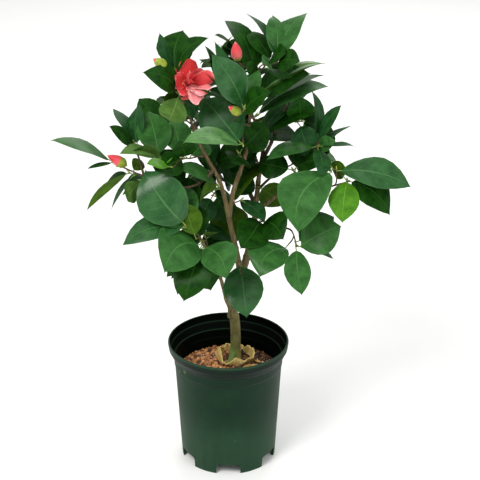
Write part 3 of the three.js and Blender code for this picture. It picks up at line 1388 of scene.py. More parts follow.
SPRAYS = (
    Spray("upper_left", (-66, -32, 564), (
        Leaf(75, 45, 62, 44, 10, DEEP, 0.6, 5), Leaf(140, 65, 54, 24, 10, COOL, 0.6, 9),
        Leaf(5, 45, 64, 28, 25, DEEP, 1.0, 9), Leaf(110, 30, 46, 24, 130, DEEP),
    )),
    Spray("upper_left_low", (-60, -30, 537), (
        Leaf(-140, 35, 70, 30, -80, DEEP, 1.2, -7), Leaf(-105, -25, 48, 34, 155, PALE),
        Leaf(40, -55, 44, 26, 65, COOL), Leaf(5, -65, 36, 16, 25, MID),
    )),
    Spray("left_high", (-116, -26, 468), (
        Leaf(130, 35, 62, 26, 20, COOL, 0.5), Leaf(-135, 40, 58, 22, -55, DEEP, 0.4),
        Leaf(85, 50, 56, 34, -40, COOL),
    )),
    Spray("far_left", (-143, -46, 453), (
        Leaf(-160, 25, 90, 28, -15, MID, 0.65), Leaf(-130, 5, 48, 10, -10, DEEP, 0.3),
    )),
    Spray("left_twig", (-124, -42, 437), (
        Leaf(-130, -20, 84, 16, 0, OLIVE, 0.45), Leaf(150, -30, 40, 14, -30, DEEP),
        Leaf(65, 10, 32, 18, 40, OLIVE), Leaf(140, -60, 72, 10, -60, COOL, 0.3),
    )),
    Spray("left_inner", (-108, -38, 425), (
        Leaf(-110, -15, 48, 26, 115, PALE), Leaf(140, -40, 50, 12, 25, OLIVE, 0.3),
    )),
    Spray("left_round", (-84, -34, 453), (
        Leaf(115, 50, 66, 44, -5, MID), Leaf(-150, 15, 62, 28, -10, PALE), Leaf(-145, 20, 50, 24, 50, PALE),
        Leaf(-65, 5, 24, 16, 20, YOUNG),
    )),
    Spray("left_mid", (-55, -26, 450), (
        Leaf(110, 40, 60, 36, -10, MID), Leaf(-130, -5, 50, 32, -55, DEEP),
        Leaf(-105, 55, 40, 30, -155, MID), Leaf(55, 10, 48, 30, 35, MID),
    )),
    Spray("left_petiole", (-11, -10, 404), (
        Leaf(-155, 30, 72, 30, -25, MID), Leaf(-120, -5, 48, 34, 65, DEEP),
    )),
    Spray("round_big", (-53, -62, 371), (
        Leaf(155, 50, 90, 60, -55, GLOSS, 1.3, 5), Leaf(-170, -15, 86, 34, -35, GLOSS, 0.9, -7),
        Leaf(160, 10, 62, 38, -20, MID), Leaf(85, 40, 58, 34, -20, MID),
    )),
    Spray("low_left", (-34, -52, 344), (
        Leaf(110, 45, 56, 34, -20, DEEP), Leaf(-130, -15, 74, 60, -45, MID, 1.2, -15),
        Leaf(-115, -50, 82, 48, -10, DEEP, 0.8, 2), Leaf(-55, -30, 64, 46, 25, MID, 1.1, 9),
        Leaf(-145, -60, 76, 36, -10, DEEP), Leaf(-10, -80, 70, 44, 45, DEEP),
        Leaf(-170, -45, 66, 32, -20, DEEP), Leaf(-165, -50, 64, 26, -5, DEEP),
    )),
    Spray("olive_back", (11, 16, 305), (
        Leaf(130, 60, 66, 52, 150, OLIVE, 0.4),
    )),
    Spray("low_front", (15, -4, 294), (
        Leaf(-80, -45, 80, 50, 10, GLOSS),
    )),
    Spray("centre_low", (45, 8, 351), (
        Leaf(-120, -20, 62, 44, -35, DEEP), Leaf(-60, -10, 56, 42, 45, DEEP, 0.6, 6),
        Leaf(150, 30, 40, 22, -15, COOL), Leaf(-85, 15, 20, 12, 40, DEEP),
    )),
    Spray("centre_twig", (17, 8, 378), (
        Leaf(-40, -25, 46, 26, 10, COOL),
    )),
    Spray("low_mid", (80, -22, 328), (
        Leaf(-130, -25, 66, 50, -20, MID, 0.9, -11),
    )),
    Spray("low_right", (89, -34, 329), (
        Leaf(5, 25, 66, 50, 55, MID), Leaf(-80, -50, 66, 34, 0, MID, 0.6, -3),
        Leaf(15, -25, 58, 24, 10, COOL), Leaf(45, 15, 78, 36, 45, COOL, 0.8, 4),
    )),
    Spray("front_right", (101, -24, 418), (
        Leaf(135, -75, 56, 30, -130, DEEP),
    )),
    Spray("front_right_high", (135, -22, 434), (
        Leaf(-135, -50, 96, 60, -35, MID, 0.8, -20),
    )),
    Spray("far_right", (154, -18, 420), (
        Leaf(-100, -45, 64, 38, -5, YOUNG, 0.5), Leaf(-25, -35, 74, 42, 30, DEEP, 0.9, 6),
        Leaf(135, 20, 34, 26, 85, OLIVE),
    )),
    Spray("right_spur", (89, 26, 398), (
        Leaf(-140, -5, 26, 16, -60, COOL), Leaf(35, -5, 40, 22, 25, DEEP), Leaf(15, 45, 46, 14, 0, DEEP),
    )),
    Spray("olive_right", (39, 40, 385), (
        Leaf(5, -40, 48, 36, -90, OLIVE),
    )),
    Spray("right", (117, 4, 455), (
        Leaf(-30, 10, 54, 18, 0, COOL, 0.4), Leaf(-90, -35, 50, 26, -30, COOL),
        Leaf(-175, -15, 70, 30, -15, MID, 0.8, -3), Leaf(10, 30, 50, 20, -5, COOL, 0.3),
        Leaf(-35, 25, 30, 20, 70, MID), Leaf(30, 55, 62, 28, -5, COOL), Leaf(100, 50, 78, 22, 45, COOL),
        Leaf(145, -20, 46, 36, -55, DEEP),
    )),
    Spray("inner_right", (38, 34, 457), (
        Leaf(-10, 25, 84, 38, 25, DEEP, 0.9, 4), Leaf(20, 35, 90, 34, 5, COOL),
        Leaf(20, -10, 62, 40, 25, DEEP, 0.9, 7),
    )),
    Spray("upper_right", (35, 22, 490), (
        Leaf(5, 20, 104, 38, 15, MID), Leaf(5, 30, 104, 32, 0, MID, 0.7, 4),
    )),
    Spray("upper_right_high", (33, 16, 516), (
        Leaf(-5, 25, 82, 42, 35, DEEP, 0.8, 3), Leaf(5, 25, 102, 34, 0, BRIGHT),
        Leaf(5, 25, 104, 20, 15, PALE),
    )),
    Spray("top_fore", (37, -2, 554), (
        Leaf(130, 40, 86, 34, 5, DEEP), Leaf(-70, 35, 14, 10, 125, MID), Leaf(-150, 50, 24, 20, -75, DEEP),
    )),
    Spray("top", (65, 6, 570), (
        Leaf(135, 40, 76, 20, 15, COOL), Leaf(50, 40, 76, 36, 0, MID, 0.7, 7),
        Leaf(100, 45, 64, 32, 20, MID), Leaf(-45, 10, 38, 30, 50, DEEP), Leaf(145, 30, 58, 32, -5, DEEP),
        Leaf(-135, 5, 30, 24, -45, MID),
    )),
    Spray("front_upper", (21, -52, 526), (
        Leaf(-160, 60, 86, 38, -85, GLOSS, 0.7), Leaf(65, 40, 58, 28, -15, MID),
        Leaf(-45, 35, 58, 32, 65, DEEP), Leaf(-175, 25, 62, 14, -5, DEEP, 0.3),
        Leaf(165, 40, 76, 16, 5, DEEP, 0.2), Leaf(135, 55, 92, 20, -20, COOL, 0.4),
    )),
    Spray("front_fold", (20, -42, 474), (
        Leaf(140, 35, 82, 58, -50, COOL, 0.5), Leaf(-155, 10, 84, 34, -20, BRIGHT, 0.9, -3),
    )),
    Spray("centre_long", (4, 6, 372), (
        Leaf(30, 30, 92, 30, -10, OLIVE),
    )),
    Spray("far_right_high", (140, -16, 429), (
        Leaf(-10, -10, 100, 46, 30, GLOSS, 1.0, 1),
    )),
    Spray("young_strip", (-69, -62, 452), (
        Leaf(-155, 15, 36, 20, -20, YOUNG),
    )),
    Spray("young_fore", (-40, -66, 355), (
        Leaf(165, 75, 50, 32, 105, OLIVE, 0.9, -2),
    )),
)


@dataclass(frozen=True)
class Mass:
    """One foliage mass of the frame, that the branching rule may fill with sprays.

    Attributes:
        name: Its node's name, without the foliage_ before it.
        sprays: How many sprays the rule may add.
        front: How far forwards the rule may go in it, from -1 for its front to 1 for its back.
    """

    name: str
    sprays: int = 0
    front: float = -1.0

    FORE_SLACK = 6.0 * MM

    @cached_property
    def spans(self) -> tuple[Vector, Vector]:
        """Its middle, and half its size along each axis."""
        low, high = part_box("foliage_" + self.name)
        return (low + high) / 2, (high - low) / 2

    def depth(self, place: Vector) -> float:
        """Gives the square of how far out a place is: 0 in the middle, 1 on its ellipsoid."""
        centre, half = self.spans
        off = place - centre
        return sum((off[axis] / half[axis]) ** 2 for axis in range(3))

    def nearest(self) -> float:
        """Gives how far forwards its leaves may reach, as a place along Y."""
        centre, half = self.spans
        return centre.y + self.front * half.y - self.FORE_SLACK * (self.front > -1.0)


@dataclass
class Foliage:
    """The sprays of leaves, joined into one piece for each region of the crown.

    Attributes:
        wood: The wood that carries them.
        finishes: The plant's finishes.
        seed: The seed of the branching rule.
    """

    wood: Wood
    finishes: Finishes
    seed: int = 13

    REGIONS = {
        "leaves_top": (
            Mass("top", 3, 0.4), Mass("upper_left", 2, 0.3), Mass("upper_front"),
            Mass("upper_right", 3, 0.3),
        ),
        "leaves_left": (
            Mass("left", 4, 0.1), Mass("left_high", 2, 0.3), Mass("left_front"), Mass("far_left"),
        ),
        "leaves_low": (
            Mass("low_left", 3, 0.2), Mass("low_front"), Mass("centre_low", 3, 0.0),
            Mass("low_right", 3, 0.2),
        ),
        "leaves_right": (
            Mass("right", 1, 0.4), Mass("inner_right", 3, 0.2), Mass("front_right"), Mass("far_right"),
        ),
        "leaves_inner": (Mass("inner", 26),),
        "leaves_back": (Mass("back", 8), Mass("back_left", 7), Mass("back_right", 7), Mass("back_top", 7)),
    }
    # The rule fills these masses, in this order.
    FILLED = (
        "inner", "back", "back_left", "back_right", "back_top", "left", "left_high", "right", "inner_right",
        "centre_low", "upper_right", "upper_left", "top", "low_left", "low_right",
    )
    TUFTS = (
        (15, 15, 440), (-25, 30, 410), (-20, 20, 380), (-30, -10, 335), (-95, -15, 420), (85, 10, 420),
        (-10, 40, 415), (0, 30, 315), (30, 50, 405), (-50, 10, 415), (50, 25, 560), (95, 30, 480),
    )
    TUFT_LEAVES = 4
    TUFT_REACH = (42.0, 58.0)
    TUFT_AHEAD = 0.35
    TUFT_DROOP = 0.3
    DROOP = 0.12
    SPREAD = (42.0, 66.0)
    OPENING = 5.0
    SLACK_JOINT = 2.2
    REACH = (64.0, 84.0)
    SHORTER = (58.0, 46.0)
    SLIMNESS = (0.48, 0.62)
    RULE_LIFT = 0.35
    SPACING = 27.0 * MM
    LOOSENESS = 1.2
    STALK = 7.0 * MM
    STALK_SHARE = 0.22
    STALK_SIDES = 6
    STALK_RADII = (0.95, 0.8, 0.75, 0.75, 0.5)
    STALK_SUNK = 0.8 * MM
    STALK_LAP = 1.5 * MM
    JOINT = 2.4 * MM
    USUAL_WIDTH = 34.0
    FULLNESS = 1.07
    FEWEST = 3
    CRISP = 24.0
    CROWN_REACH = 0.2
    SUNNY_ABOVE = 0.09
    FOOT = MM * Vector((8.0, 22.0, 230.0))

    def __post_init__(self) -> None:
        """Starts with no leaves in any region."""
        self.chance = random.Random(self.seed)
        self.batches = {name: Batch() for name in self.REGIONS}
        self.ends: list[tuple[Vector, Vector]] = []
        self.count = 0

    def seat(self, place: Vector, out: Vector) -> str:
        """Notes a spray's place and direction, and gives the region whose nearest mass is closest."""
        self.ends.append((place, out))
        return min(self.REGIONS, key=lambda name: min(mass.depth(place) for mass in self.REGIONS[name]))

    def put_leaf(
        self, region: str, joint: Vector, out: Vector, tip: Vector, wish: Vector, leaf: Leaf
    ) -> None:
        """Adds one leaf with its stalk.

        Args:
            region: The region to add it to.
            joint: Where its stalk starts.
            out: The unit direction of the twig there.
            tip: Where its blade ends.
            wish: The side that its top faces before it is turned.
            leaf: Its width, turn and tint.
        """
        chance, batch = self.chance, self.batches[region]
        way = (tip - joint).normalized()
        stalk = min(self.STALK, self.STALK_SHARE * (tip - joint).length)
        base = joint + stalk * (way + 0.25 * out).normalized()
        chord = (tip - base).normalized()
        turn = math.radians(leaf.turn)
        level = square_to(chord, wish)
        normal = math.cos(turn) * level + math.sin(turn) * chord.cross(level)
        # Undersides mostly get the darker olive skin, as painted shade under the leaves.
        up_side, down_side = leaf.tint, chance.choice((OLIVE, OLIVE, PALE))
        if abs(leaf.turn) > 90:
            up_side, down_side = chance.choice((DEEP, MID)), leaf.tint
        elif leaf.tint in (OLIVE, PALE):
            down_side = leaf.tint
        usual = chance.uniform(0.7, 1.15) * min(1.0, self.USUAL_WIDTH / leaf.width)
        bends = Bends(
            arch=usual if leaf.arch is None else leaf.arch,
            curl=chance.uniform(0.0, 0.35),
            fold=chance.uniform(0.16, 0.36),
            recurve=chance.uniform(0.2, 0.45),
            twist=chance.uniform(-0.3, 0.3),
            wave=chance.uniform(0.0, 0.03),
            phase=chance.uniform(0.0, 6.0),
            sway=leaf.sway * MM if leaf.sway else chance.uniform(-0.035, 0.035) * leaf.reach * MM,
        )
        points = LEAF_BLADE.pose(base, tip, normal, self.FULLNESS * leaf.width * MM, bends)
        faces, corners = LEAF_BLADE.faces(up_side.value, down_side.value)
        half = len(faces) // 2
        batch.add(points, faces, [up_side.value] * half + [down_side.value] * half, corners)
        foot, head = joint - self.STALK_SUNK * out, base + self.STALK_LAP * chord
        route = bend(foot, (0.6 * out + way).normalized(), head, chord, len(self.STALK_RADII) - 1)
        radii = [radius * MM for radius in self.STALK_RADII]
        batch.add_tube(route, radii, self.STALK_SIDES, STALK_CELL, STALK_CELL)
        self.count += 1

    def put_spray(self, spray: Spray) -> None:
        """Adds a spray whose leaves are all given."""
        place = MM * Vector(spray.place)
        out = self.wood.arrive(place)
        region = self.seat(place, out)
        for rank, leaf in enumerate(spray.leaves):
            way = heading(leaf.bearing, leaf.rise)
            joint = place - rank * self.JOINT * out
            self.put_leaf(region, joint, out, place + leaf.reach * MM * way, square_to(way, UP), leaf)

    def put_tuft(self, place: Vector) -> None:
        """Grows a tuft of small dark leaves between the limbs, in a golden spiral, turned to the light.
        Their dark tints are painted shade inside the crown.
        """
        chance = self.chance
        out = self.wood.arrive(place)
        region = self.seat(place, out)
        first = square_to(out, UP)
        start = chance.uniform(0.0, 2.0 * math.pi)
        for rank in range(self.TUFT_LEAVES):
            way = self.TUFT_AHEAD * out + spiral(out, first, rank, start) - self.TUFT_DROOP * UP
            reach = chance.uniform(*self.TUFT_REACH)
            joint = place - rank * self.JOINT * out
            # Mostly the deep tint, as painted shade between the limbs.
            tint = chance.choice((DEEP, DEEP, DEEP, COOL))
            leaf = Leaf(0.0, 0.0, reach, 0.7 * reach, chance.uniform(-25.0, 25.0), tint)
            self.put_leaf(region, joint, out, joint + reach * MM * way.normalized(), UP + FRONT, leaf)

    def tint_of(self, place: Vector, heart: Vector) -> Tint:
        """Deals a spray's tint out by its place: light and young at the sunny top, partly as painted light,
        and dark inside the crown as painted shade.

        Args:
            place: The spray's place.
            heart: The middle of the whole crown.

        Returns:
            The tint.
        """
        off = place - heart
        outer = min(1.0, off.length / self.CROWN_REACH)
        roll = self.chance.random()
        if off.z > self.SUNNY_ABOVE and roll < 0.35 * outer:
            return self.chance.choice((BRIGHT, YOUNG))
        if roll < 0.6 * outer + 0.12:
            return self.chance.choice((MID, GLOSS, COOL))
        return self.chance.choice((DEEP, DEEP, COOL))

    def fill(self, mass: Mass, heart: Vector) -> None:
        """Fills a mass with sprays that grow on from the wood by the branching rule.

        Args:
            mass: The mass.
            heart: The middle of the whole crown.
        """
        centre, half = mass.spans
        placed, tries = 0, 6 * mass.sprays
        for step in range(tries):
            if placed >= mass.sprays:
                return
            height = 1.0 - 2.0 * (step + 0.5) / tries
            turn = step * GOLDEN_TURN
            ring = math.sqrt(1.0 - height * height)
            way = Vector((ring * math.cos(turn), ring * math.sin(turn), height))
            if way.y < mass.front:
                continue
            depth = self.chance.uniform(0.3, 0.68)
            place = centre + Vector(way[axis] * half[axis] * depth for axis in range(3))
            if all((place - other).length >= self.SPACING for other, _ in self.ends):
                placed += self.grow_spray(place, mass, heart)

    def grow_spray(self, place: Vector, mass: Mass, heart: Vector) -> bool:
        """Grows one spray of the branching rule, with leaves in a golden spiral round its twig.

        Args:
            place: The spray's place.
            mass: The mass that its leaves are to stay in.
            heart: The middle of the whole crown.

        Returns:
            True if it had room for enough leaves and was grown.
        """
        chance = self.chance
        twig = self.wood.branch(place, self.RULE_LIFT)
        out = self.wood.end_way(place, twig)
        away = (place - heart).normalized()
        axis = (out + 0.5 * away + 0.25 * UP).normalized()
        first = axis.orthogonal().normalized()
        start = chance.uniform(0.0, 2.0 * math.pi)
        planned = []
        for rank in range(chance.randint(5, 7)):
            spread = math.radians(chance.uniform(*self.SPREAD) + self.OPENING * rank)
            way = math.cos(spread) * axis + math.sin(spread) * spiral(axis, first, rank, start)
            way = (way - self.DROOP * UP).normalized()
            joint = place - rank * self.SLACK_JOINT * self.JOINT * out
            for reach in (chance.uniform(*self.REACH), *self.SHORTER):
                width = reach * chance.uniform(*self.SLIMNESS)
                if self.has_room(joint, reach * MM * way, width * MM, mass):
                    planned.append((joint, way, reach, width))
                    break
        if len(planned) < self.FEWEST:
            return False
        if twig:
            self.wood.twigs.append(twig)
        region, tint = self.seat(place, out), self.tint_of(place, heart)
        for joint, way, reach, width in planned:
            own = tint if chance.random() < 0.75 else chance.choice((MID, DEEP, COOL))
            leaf = Leaf(0.0, 0.0, reach, width, chance.uniform(-30.0, 30.0), own)
            self.put_leaf(region, joint, out, joint + reach * MM * way, UP + 0.45 * away, leaf)
        return True

    def has_room(self, joint: Vector, span: Vector, width: float, mass: Mass) -> bool:
        """Says whether a leaf would stay in its mass, and only its tip a little out of it.

        Args:
            joint: Where its stalk would start.
            span: The vector from there to its tip.
            width: Its width, in metres.
            mass: The mass.

        Returns:
            True where it has room.
        """
        tip, middle = joint + span, joint + 0.55 * span
        side = 0.4 * width * span.cross(UP).normalized()
        if tip.y < mass.nearest() or mass.depth(tip) >= self.LOOSENESS**2:
            return False
        return all(mass.depth(edge) < 1.0 for edge in (middle + side, middle - side))

    def build(self) -> list[Piece]:
        """Grows every spray and joins the leaves of each region.

        Returns:
            The pieces.
        """
        masses = {mass.name: mass for region in self.REGIONS.values() for mass in region}
        filled = [masses[name] for name in self.FILLED]
        heart = sum((mass.spans[0] for mass in filled), Vector()) / len(filled)
        for spray in sorted(SPRAYS, key=lambda spray: (MM * Vector(spray.place) - self.FOOT).length):
            self.put_spray(spray)
        for place in self.TUFTS:
            self.put_tuft(MM * Vector(place))
        for mass in filled:
            self.fill(mass, heart)
        LOG.info("%d leaves on %d sprays", self.count, len(self.ends))
        skins = self.finishes.leaves()
        pieces = []
        for name, region in self.REGIONS.items():
            piece = self.batches[name].build(name, skins, self.CRISP)
            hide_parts(*("foliage_" + mass.name for mass in region))
            pieces.append(piece)
        return pieces


# ---- Pot and soil ----


def turned(profile: Sequence[Pair], sides: int, name: str) -> Piece:
    """Turns a solid about Z by drawing a circle along a profile, and closes both its ends.

    Args:
        profile: Radius and height of each ring, in millimetres, from first to last.
        sides: How many sides the rings have.
        name: The piece's name.

    Returns:
        The piece.
    """
    clear_selection()
    radius, height = profile[0]
    bpy.ops.mesh.primitive_circle_add(
        vertices=sides, radius=radius * MM, fill_type="NGON", location=(0.0, 0.0, height * MM)
    )
    piece = bpy.context.object
    bpy.ops.object.transform_apply(location=True)
    with editing(piece):
        bpy.ops.mesh.delete(type="ONLY_FACE")
        bpy.ops.mesh.select_all(action="SELECT")
        for new_radius, new_height in profile[1:]:
            rise, scale = (new_height - height) * MM, new_radius / radius
            bpy.ops.mesh.extrude_region_move(TRANSFORM_OT_translate={"value": (0.0, 0.0, rise)})
            bpy.ops.transform.resize(value=(scale, scale, 1.0), center_override=(0.0, 0.0, new_height * MM))
            radius, height = new_radius, new_height
        bpy.ops.mesh.select_all(action="SELECT")
        bpy.ops.mesh.fill_holes(sides=0)
    close_up(piece)
    piece.name = piece.data.name = name
    return piece


@dataclass(frozen=True)
class Pot:
    """The nursery pot: a tapered wall with a stepped, flared lip and notches round its foot.

    Attributes:
        wall: The wall's thickness, in millimetres.
        outside: Radius and height of the outside, from the foot up.
        pad: Radius of the flat that the pot stands on.
        ceiling: Height of the channel under the pot, round the flat.
        floor: The floor's thickness.
        notches: How many notches the foot has.
        notch: The notches' width and height.
        notch_round: The radius of the notches' top corners.
    """

    wall: float = 2.0
    outside: tuple[Pair, ...] = (
        (64.6, 0.0), (65.0, 0.6), (67.3, 39.0), (69.65, 79.0), (71.55, 111.0), (73.1, 137.0),
        (73.5, 141.4), (74.2, 142.4), (74.4, 147.0), (74.9, 152.6), (76.0, 153.8), (77.0, 156.0),
        (78.9, 160.0), (80.3, 163.4), (81.3, 164.6), (81.8, 167.5), (82.3, 171.0), (82.5, 173.4),
        (82.2, 174.5), (81.6, 175.0),
    )
    pad: float = 43.0
    ceiling: float = 16.0
    floor: float = 2.5
    notches: int = 6
    notch: Pair = (33.0, 15.0)
    notch_round: float = 3.0

    SIDES = 144

    def cutter(self, index: int) -> Piece:
        """Makes the body that one notch is cut with."""
        width, height = self.notch
        clear_selection()
        bpy.ops.mesh.primitive_cube_add(size=1.0)
        piece = bpy.context.object
        piece.scale = (width * MM, 24.0 * MM, 2.0 * height * MM)
        bpy.ops.object.transform_apply(scale=True)
        bpy.ops.object.mode_set(mode="EDIT")
        bpy.ops.mesh.select_mode(type="EDGE")
        bpy.ops.mesh.select_all(action="DESELECT")
        bpy.ops.object.mode_set(mode="OBJECT")
        for edge in piece.data.edges:
            ends = [piece.data.vertices[vertex].co for vertex in edge.vertices]
            edge.select = abs(ends[0].y - ends[1].y) > 10 * MM and ends[0].z > 0.0
        bpy.ops.object.mode_set(mode="EDIT")
        bpy.ops.mesh.bevel(offset=self.notch_round * MM, segments=5)
        bpy.ops.object.mode_set(mode="OBJECT")
        turn = Matrix.Rotation(index * 2.0 * math.pi / self.notches, 4, "Z")
        piece.matrix_world = turn @ Matrix.Translation((0.0, -self.outside[0][0] * MM, 0.0))
        bpy.ops.object.transform_apply(location=True, rotation=True)
        return piece

    def build(self, finishes: Finishes) -> Piece:
        """Models the pot.

        Args:
            finishes: The plant's finishes.

        Returns:
            The piece.
        """
        foot, top = self.outside[0][0], self.outside[-1][1]
        rings = [ring for ring in self.outside[1:-3] if ring[1] > self.ceiling]
        inner = [(radius - self.wall, height) for radius, height in rings]
        inner[-1] = (inner[-1][0] + 0.2, inner[-1][1])
        floor_top = self.ceiling + self.floor
        corner = foot - self.wall + 0.9
        profile = [
            (0.5, 0.0), (self.pad - 1.0, 0.0), (self.pad, 0.4), (self.pad + 3.0, self.ceiling),
            (foot - self.wall, self.ceiling), (foot - self.wall, 0.4), (foot - self.wall + 0.4, 0.0),
            *self.outside,
            (self.outside[-1][0] - 0.9, top), (self.outside[-1][0] - 1.4, top - 0.5),
            *reversed(inner),
            (corner, floor_top + 2.0), (corner - 2.0, floor_top), (self.pad + 5.5, floor_top),
            (self.pad + 2.5, self.floor), (0.5, self.floor),
        ]
        pot = turned(profile, self.SIDES, "nursery_pot")
        for index in range(self.notches):
            cutter = self.cutter(index)
            apply_modifier(pot, "BOOLEAN", object=cutter, operation="DIFFERENCE", solver="EXACT")
            bpy.data.objects.remove(cutter)
        close_up(pot, 30.0)
        # Painted light on the outside: painted shadow in a dark line under each rib, painted shade over the
        # lip, a painted highlight along its top edge, and a lighter tone on the lower wall.
        shade, painted_highlight = paint(0, 14, 8), paint(58, 88, 66)
        rib_shadows = tuple((low * MM, (low + 1.5) * MM, 0.5, shade) for low in (139.0, 142.6, 147.2, 152.2))
        lip = ((154.0 * MM, 172.0 * MM, 0.8, shade), (172.2 * MM, 174.6 * MM, 0.3, painted_highlight),
               (-60.0 * MM, 70.0 * MM, 0.32, paint(50, 84, 60)))
        # Painted highlights along two rib lines inside the pot.
        inner_rib_highlights = tuple((low * MM, (low + 1.3) * MM, 0.26, painted_highlight) for low in (152.6, 163.0))
        outer = PotPlastic("pot_plastic", paint(4, 38, 20), paint(28, 60, 38), paint(110, 118, 88),
                           top * MM, (*rib_shadows, *lip))
        # The inside wall is painted almost black as painted shade, with pale dust marks on it.
        inside_shade = PotPlastic("pot_inside", paint(0, 5, 2), paint(2, 10, 5), paint(70, 78, 54),
                          top * MM, inner_rib_highlights, 0.05)
        pot.data.materials.append(outer.make(finishes.mottle))
        pot.data.materials.append(inside_shade.make(finishes.mottle))
        for face in pot.data.polygons:
            is_inner = face.normal.dot(Vector((face.center.x, face.center.y, 0.0)).normalized()) < -0.2
            face.material_index = int(is_inner and floor_top * MM < face.center.z < (top - 1.0) * MM)
        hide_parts("pot")
        return pot


@dataclass(frozen=True)
class Soil:
    """The potting soil, with its crumbs, grit and dry flakes.

    Attributes:
        top: The height of its level middle, in millimetres.
        edge: Its height at the wall.
        level: The radius of its level middle.
        crumbs: How many crumbs lie on it.
        seed: The seed of their places.
    """

    top: float = 134.0
    edge: float = 128.0
    level: float = 48.0
    crumbs: int = 1500
    seed: int = 23

    BORE = 70.4
    SPAN = BORE * 0.965
    SIDES = 96
    LOOSE_ABOVE = 0.127
    LOOSE_WITHIN = 0.066
    # On the right most crumbs are dark, partly as painted shadow.
    LEFT_DEAL = ((0.5, 0), (0.86, 1), (0.95, 2), (1.0, 3))
    RIGHT_DEAL = ((0.3, 1), (0.8, 2), (0.88, 0), (1.0, 3))
    FLAKES = ((30, -6, 24, 9, 20.0), (40, 8, 16, 6, -40.0), (-30, -34, 13, 5, 70.0), (12, -47, 12, 4, 10.0),
              (55, -14, 9, 4, 120.0))

    def height_at(self, radius: float) -> float:
        """Gives the soil's height at a radius, both in millimetres."""
        share = min(1.0, max(0.0, (radius - self.level) / (self.BORE - self.level)))
        return self.top + (self.edge - self.top) * share

    def bed(self) -> Piece:
        """Models the bed of soil, uneven on top."""
        steps = (self.BORE, 66, 61, 56, 52, 48, 43, 37, 30, 22, 13, 4)
        rings = [(radius, self.height_at(radius)) for radius in steps]
        bed = turned([(0.5, 2.7), (45.3, 2.7), (48.3, 18.9), (63.6, 18.9), *rings], self.SIDES, "soil_bed")
        loose = [
            vertex.index for vertex in bed.data.vertices
            if vertex.co.z > self.LOOSE_ABOVE and vertex.co.xy.length < self.LOOSE_WITHIN
        ]
        bed.vertex_groups.new(name="loose").add(loose, 1.0, "REPLACE")
        apply_modifier(bed, "SUBSURF", subdivision_type="SIMPLE", levels=1)
        clods = texture("clods", "CLOUDS", noise_scale=9.0 * MM, noise_depth=3)
        apply_modifier(bed, "DISPLACE", texture=clods, strength=5.0 * MM, vertex_group="loose")
        return bed

    def crumb_shapes(self) -> list[tuple[np.ndarray, list[Face]]]:
        """Makes the two plain lumps, of 20 and of 80 faces, that crumbs are made from."""
        shapes = []
        for level in (1, 2):
            clear_selection()
            bpy.ops.mesh.primitive_ico_sphere_add(subdivisions=level, radius=1.0)
            lump = bpy.context.object
            points = np.array([tuple(v.co) for v in lump.data.vertices])
            shapes.append((points, [tuple(face.vertices) for face in lump.data.polygons]))
            bpy.data.objects.remove(lump)
        return shapes

    def scatter(self) -> Batch:
        """Scatters the crumbs, browner and larger on the left, and darker with pale grit on the right, where
        the many dark crumbs are partly painted shadow.
        """
        chance, batch = random.Random(self.seed), Batch()
        small, large = self.crumb_shapes()
        for step in range(self.crumbs):
            radius = self.SPAN * math.sqrt((step + 0.5) / self.crumbs)
            turn = step * GOLDEN_TURN + chance.uniform(-0.3, 0.3)
            x, y = radius * math.cos(turn), radius * math.sin(turn)
            left = x < 4.0 + 10.0 * chance.uniform(-1, 1)
            is_small = chance.random() < 0.72
            size = chance.uniform(0.7, 1.5) if is_small else chance.uniform(1.5, 3.6 if left else 2.6)
            points, faces = large if size > 1.8 else small
            lumpy = points * np.array([[chance.uniform(0.8, 1.2)] for _ in points])
            scale = np.array([size * chance.uniform(0.7, 1.3), size * chance.uniform(0.7, 1.3), size * 0.75])
            turned_by = np.array(Matrix.Rotation(chance.uniform(0, 6.28), 3, UP))
            mound = 2.4 * math.exp(-(((x + 28) / 24) ** 2) - ((y + 18) / 22) ** 2)
            height = self.height_at(radius) + mound + chance.uniform(-0.8, 1.2)
            deal = self.LEFT_DEAL if left else self.RIGHT_DEAL
            grit = chance.random()
            slot = next(slot for share, slot in deal if grit < share)
            batch.add(MM * ((lumpy * scale) @ turned_by.T + np.array([x, y, height])), faces, slot)
        return batch

    def flake(self, batch: Batch, x: float, y: float, length: float, width: float, bearing: float) -> None:
        """Lays one dry flake of leaf or bark on the soil."""
        way = heading(bearing, 4.0)
        middle = MM * Vector((x, y, self.height_at(math.hypot(x, y)) + 3.0))
        tip = middle + 0.5 * length * MM * way
        bends = Bends(arch=-0.5, fold=0.3, recurve=-0.4, wave=0.05, phase=x)
        points = LEAF_BLADE.pose(middle - 0.5 * length * MM * way, tip, UP, width * MM, bends)
        faces, _ = LEAF_BLADE.faces(0, 0)
        batch.add(points, faces, 4)

    def build(self, finishes: Finishes) -> list[Piece]:
        """Models the soil.

        Args:
            finishes: The plant's finishes.

        Returns:
            The bed, and the crumbs that lie on it.
        """
        bed = self.bed()
        base = GrainSkin("soil_base", paint(38, 26, 20), paint(96, 62, 42), scale=130.0, relief=0.0012)
        bed.data.materials.append(base.make(finishes.mottle))
        batch = self.scatter()
        for flake in self.FLAKES:
            self.flake(batch, *flake)
        skins = (
            GrainSkin("crumb_red", paint(156, 98, 50), paint(214, 156, 102)),
            GrainSkin("crumb_brown", paint(110, 68, 38), paint(168, 114, 70)),
            GrainSkin("crumb_dark", paint(34, 26, 22), paint(74, 54, 42)),
            GrainSkin("grit_pale", paint(170, 150, 130), paint(220, 206, 186)),
            GrainSkin("flake_dry", paint(150, 106, 52), paint(206, 164, 96), stretch=(1.0, 1.0, 0.4)),
        )
        crumbs = batch.build("soil_crumbs", [skin.make(finishes.mottle) for skin in skins], 50.0)
        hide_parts("soil")
        return [bed, crumbs]


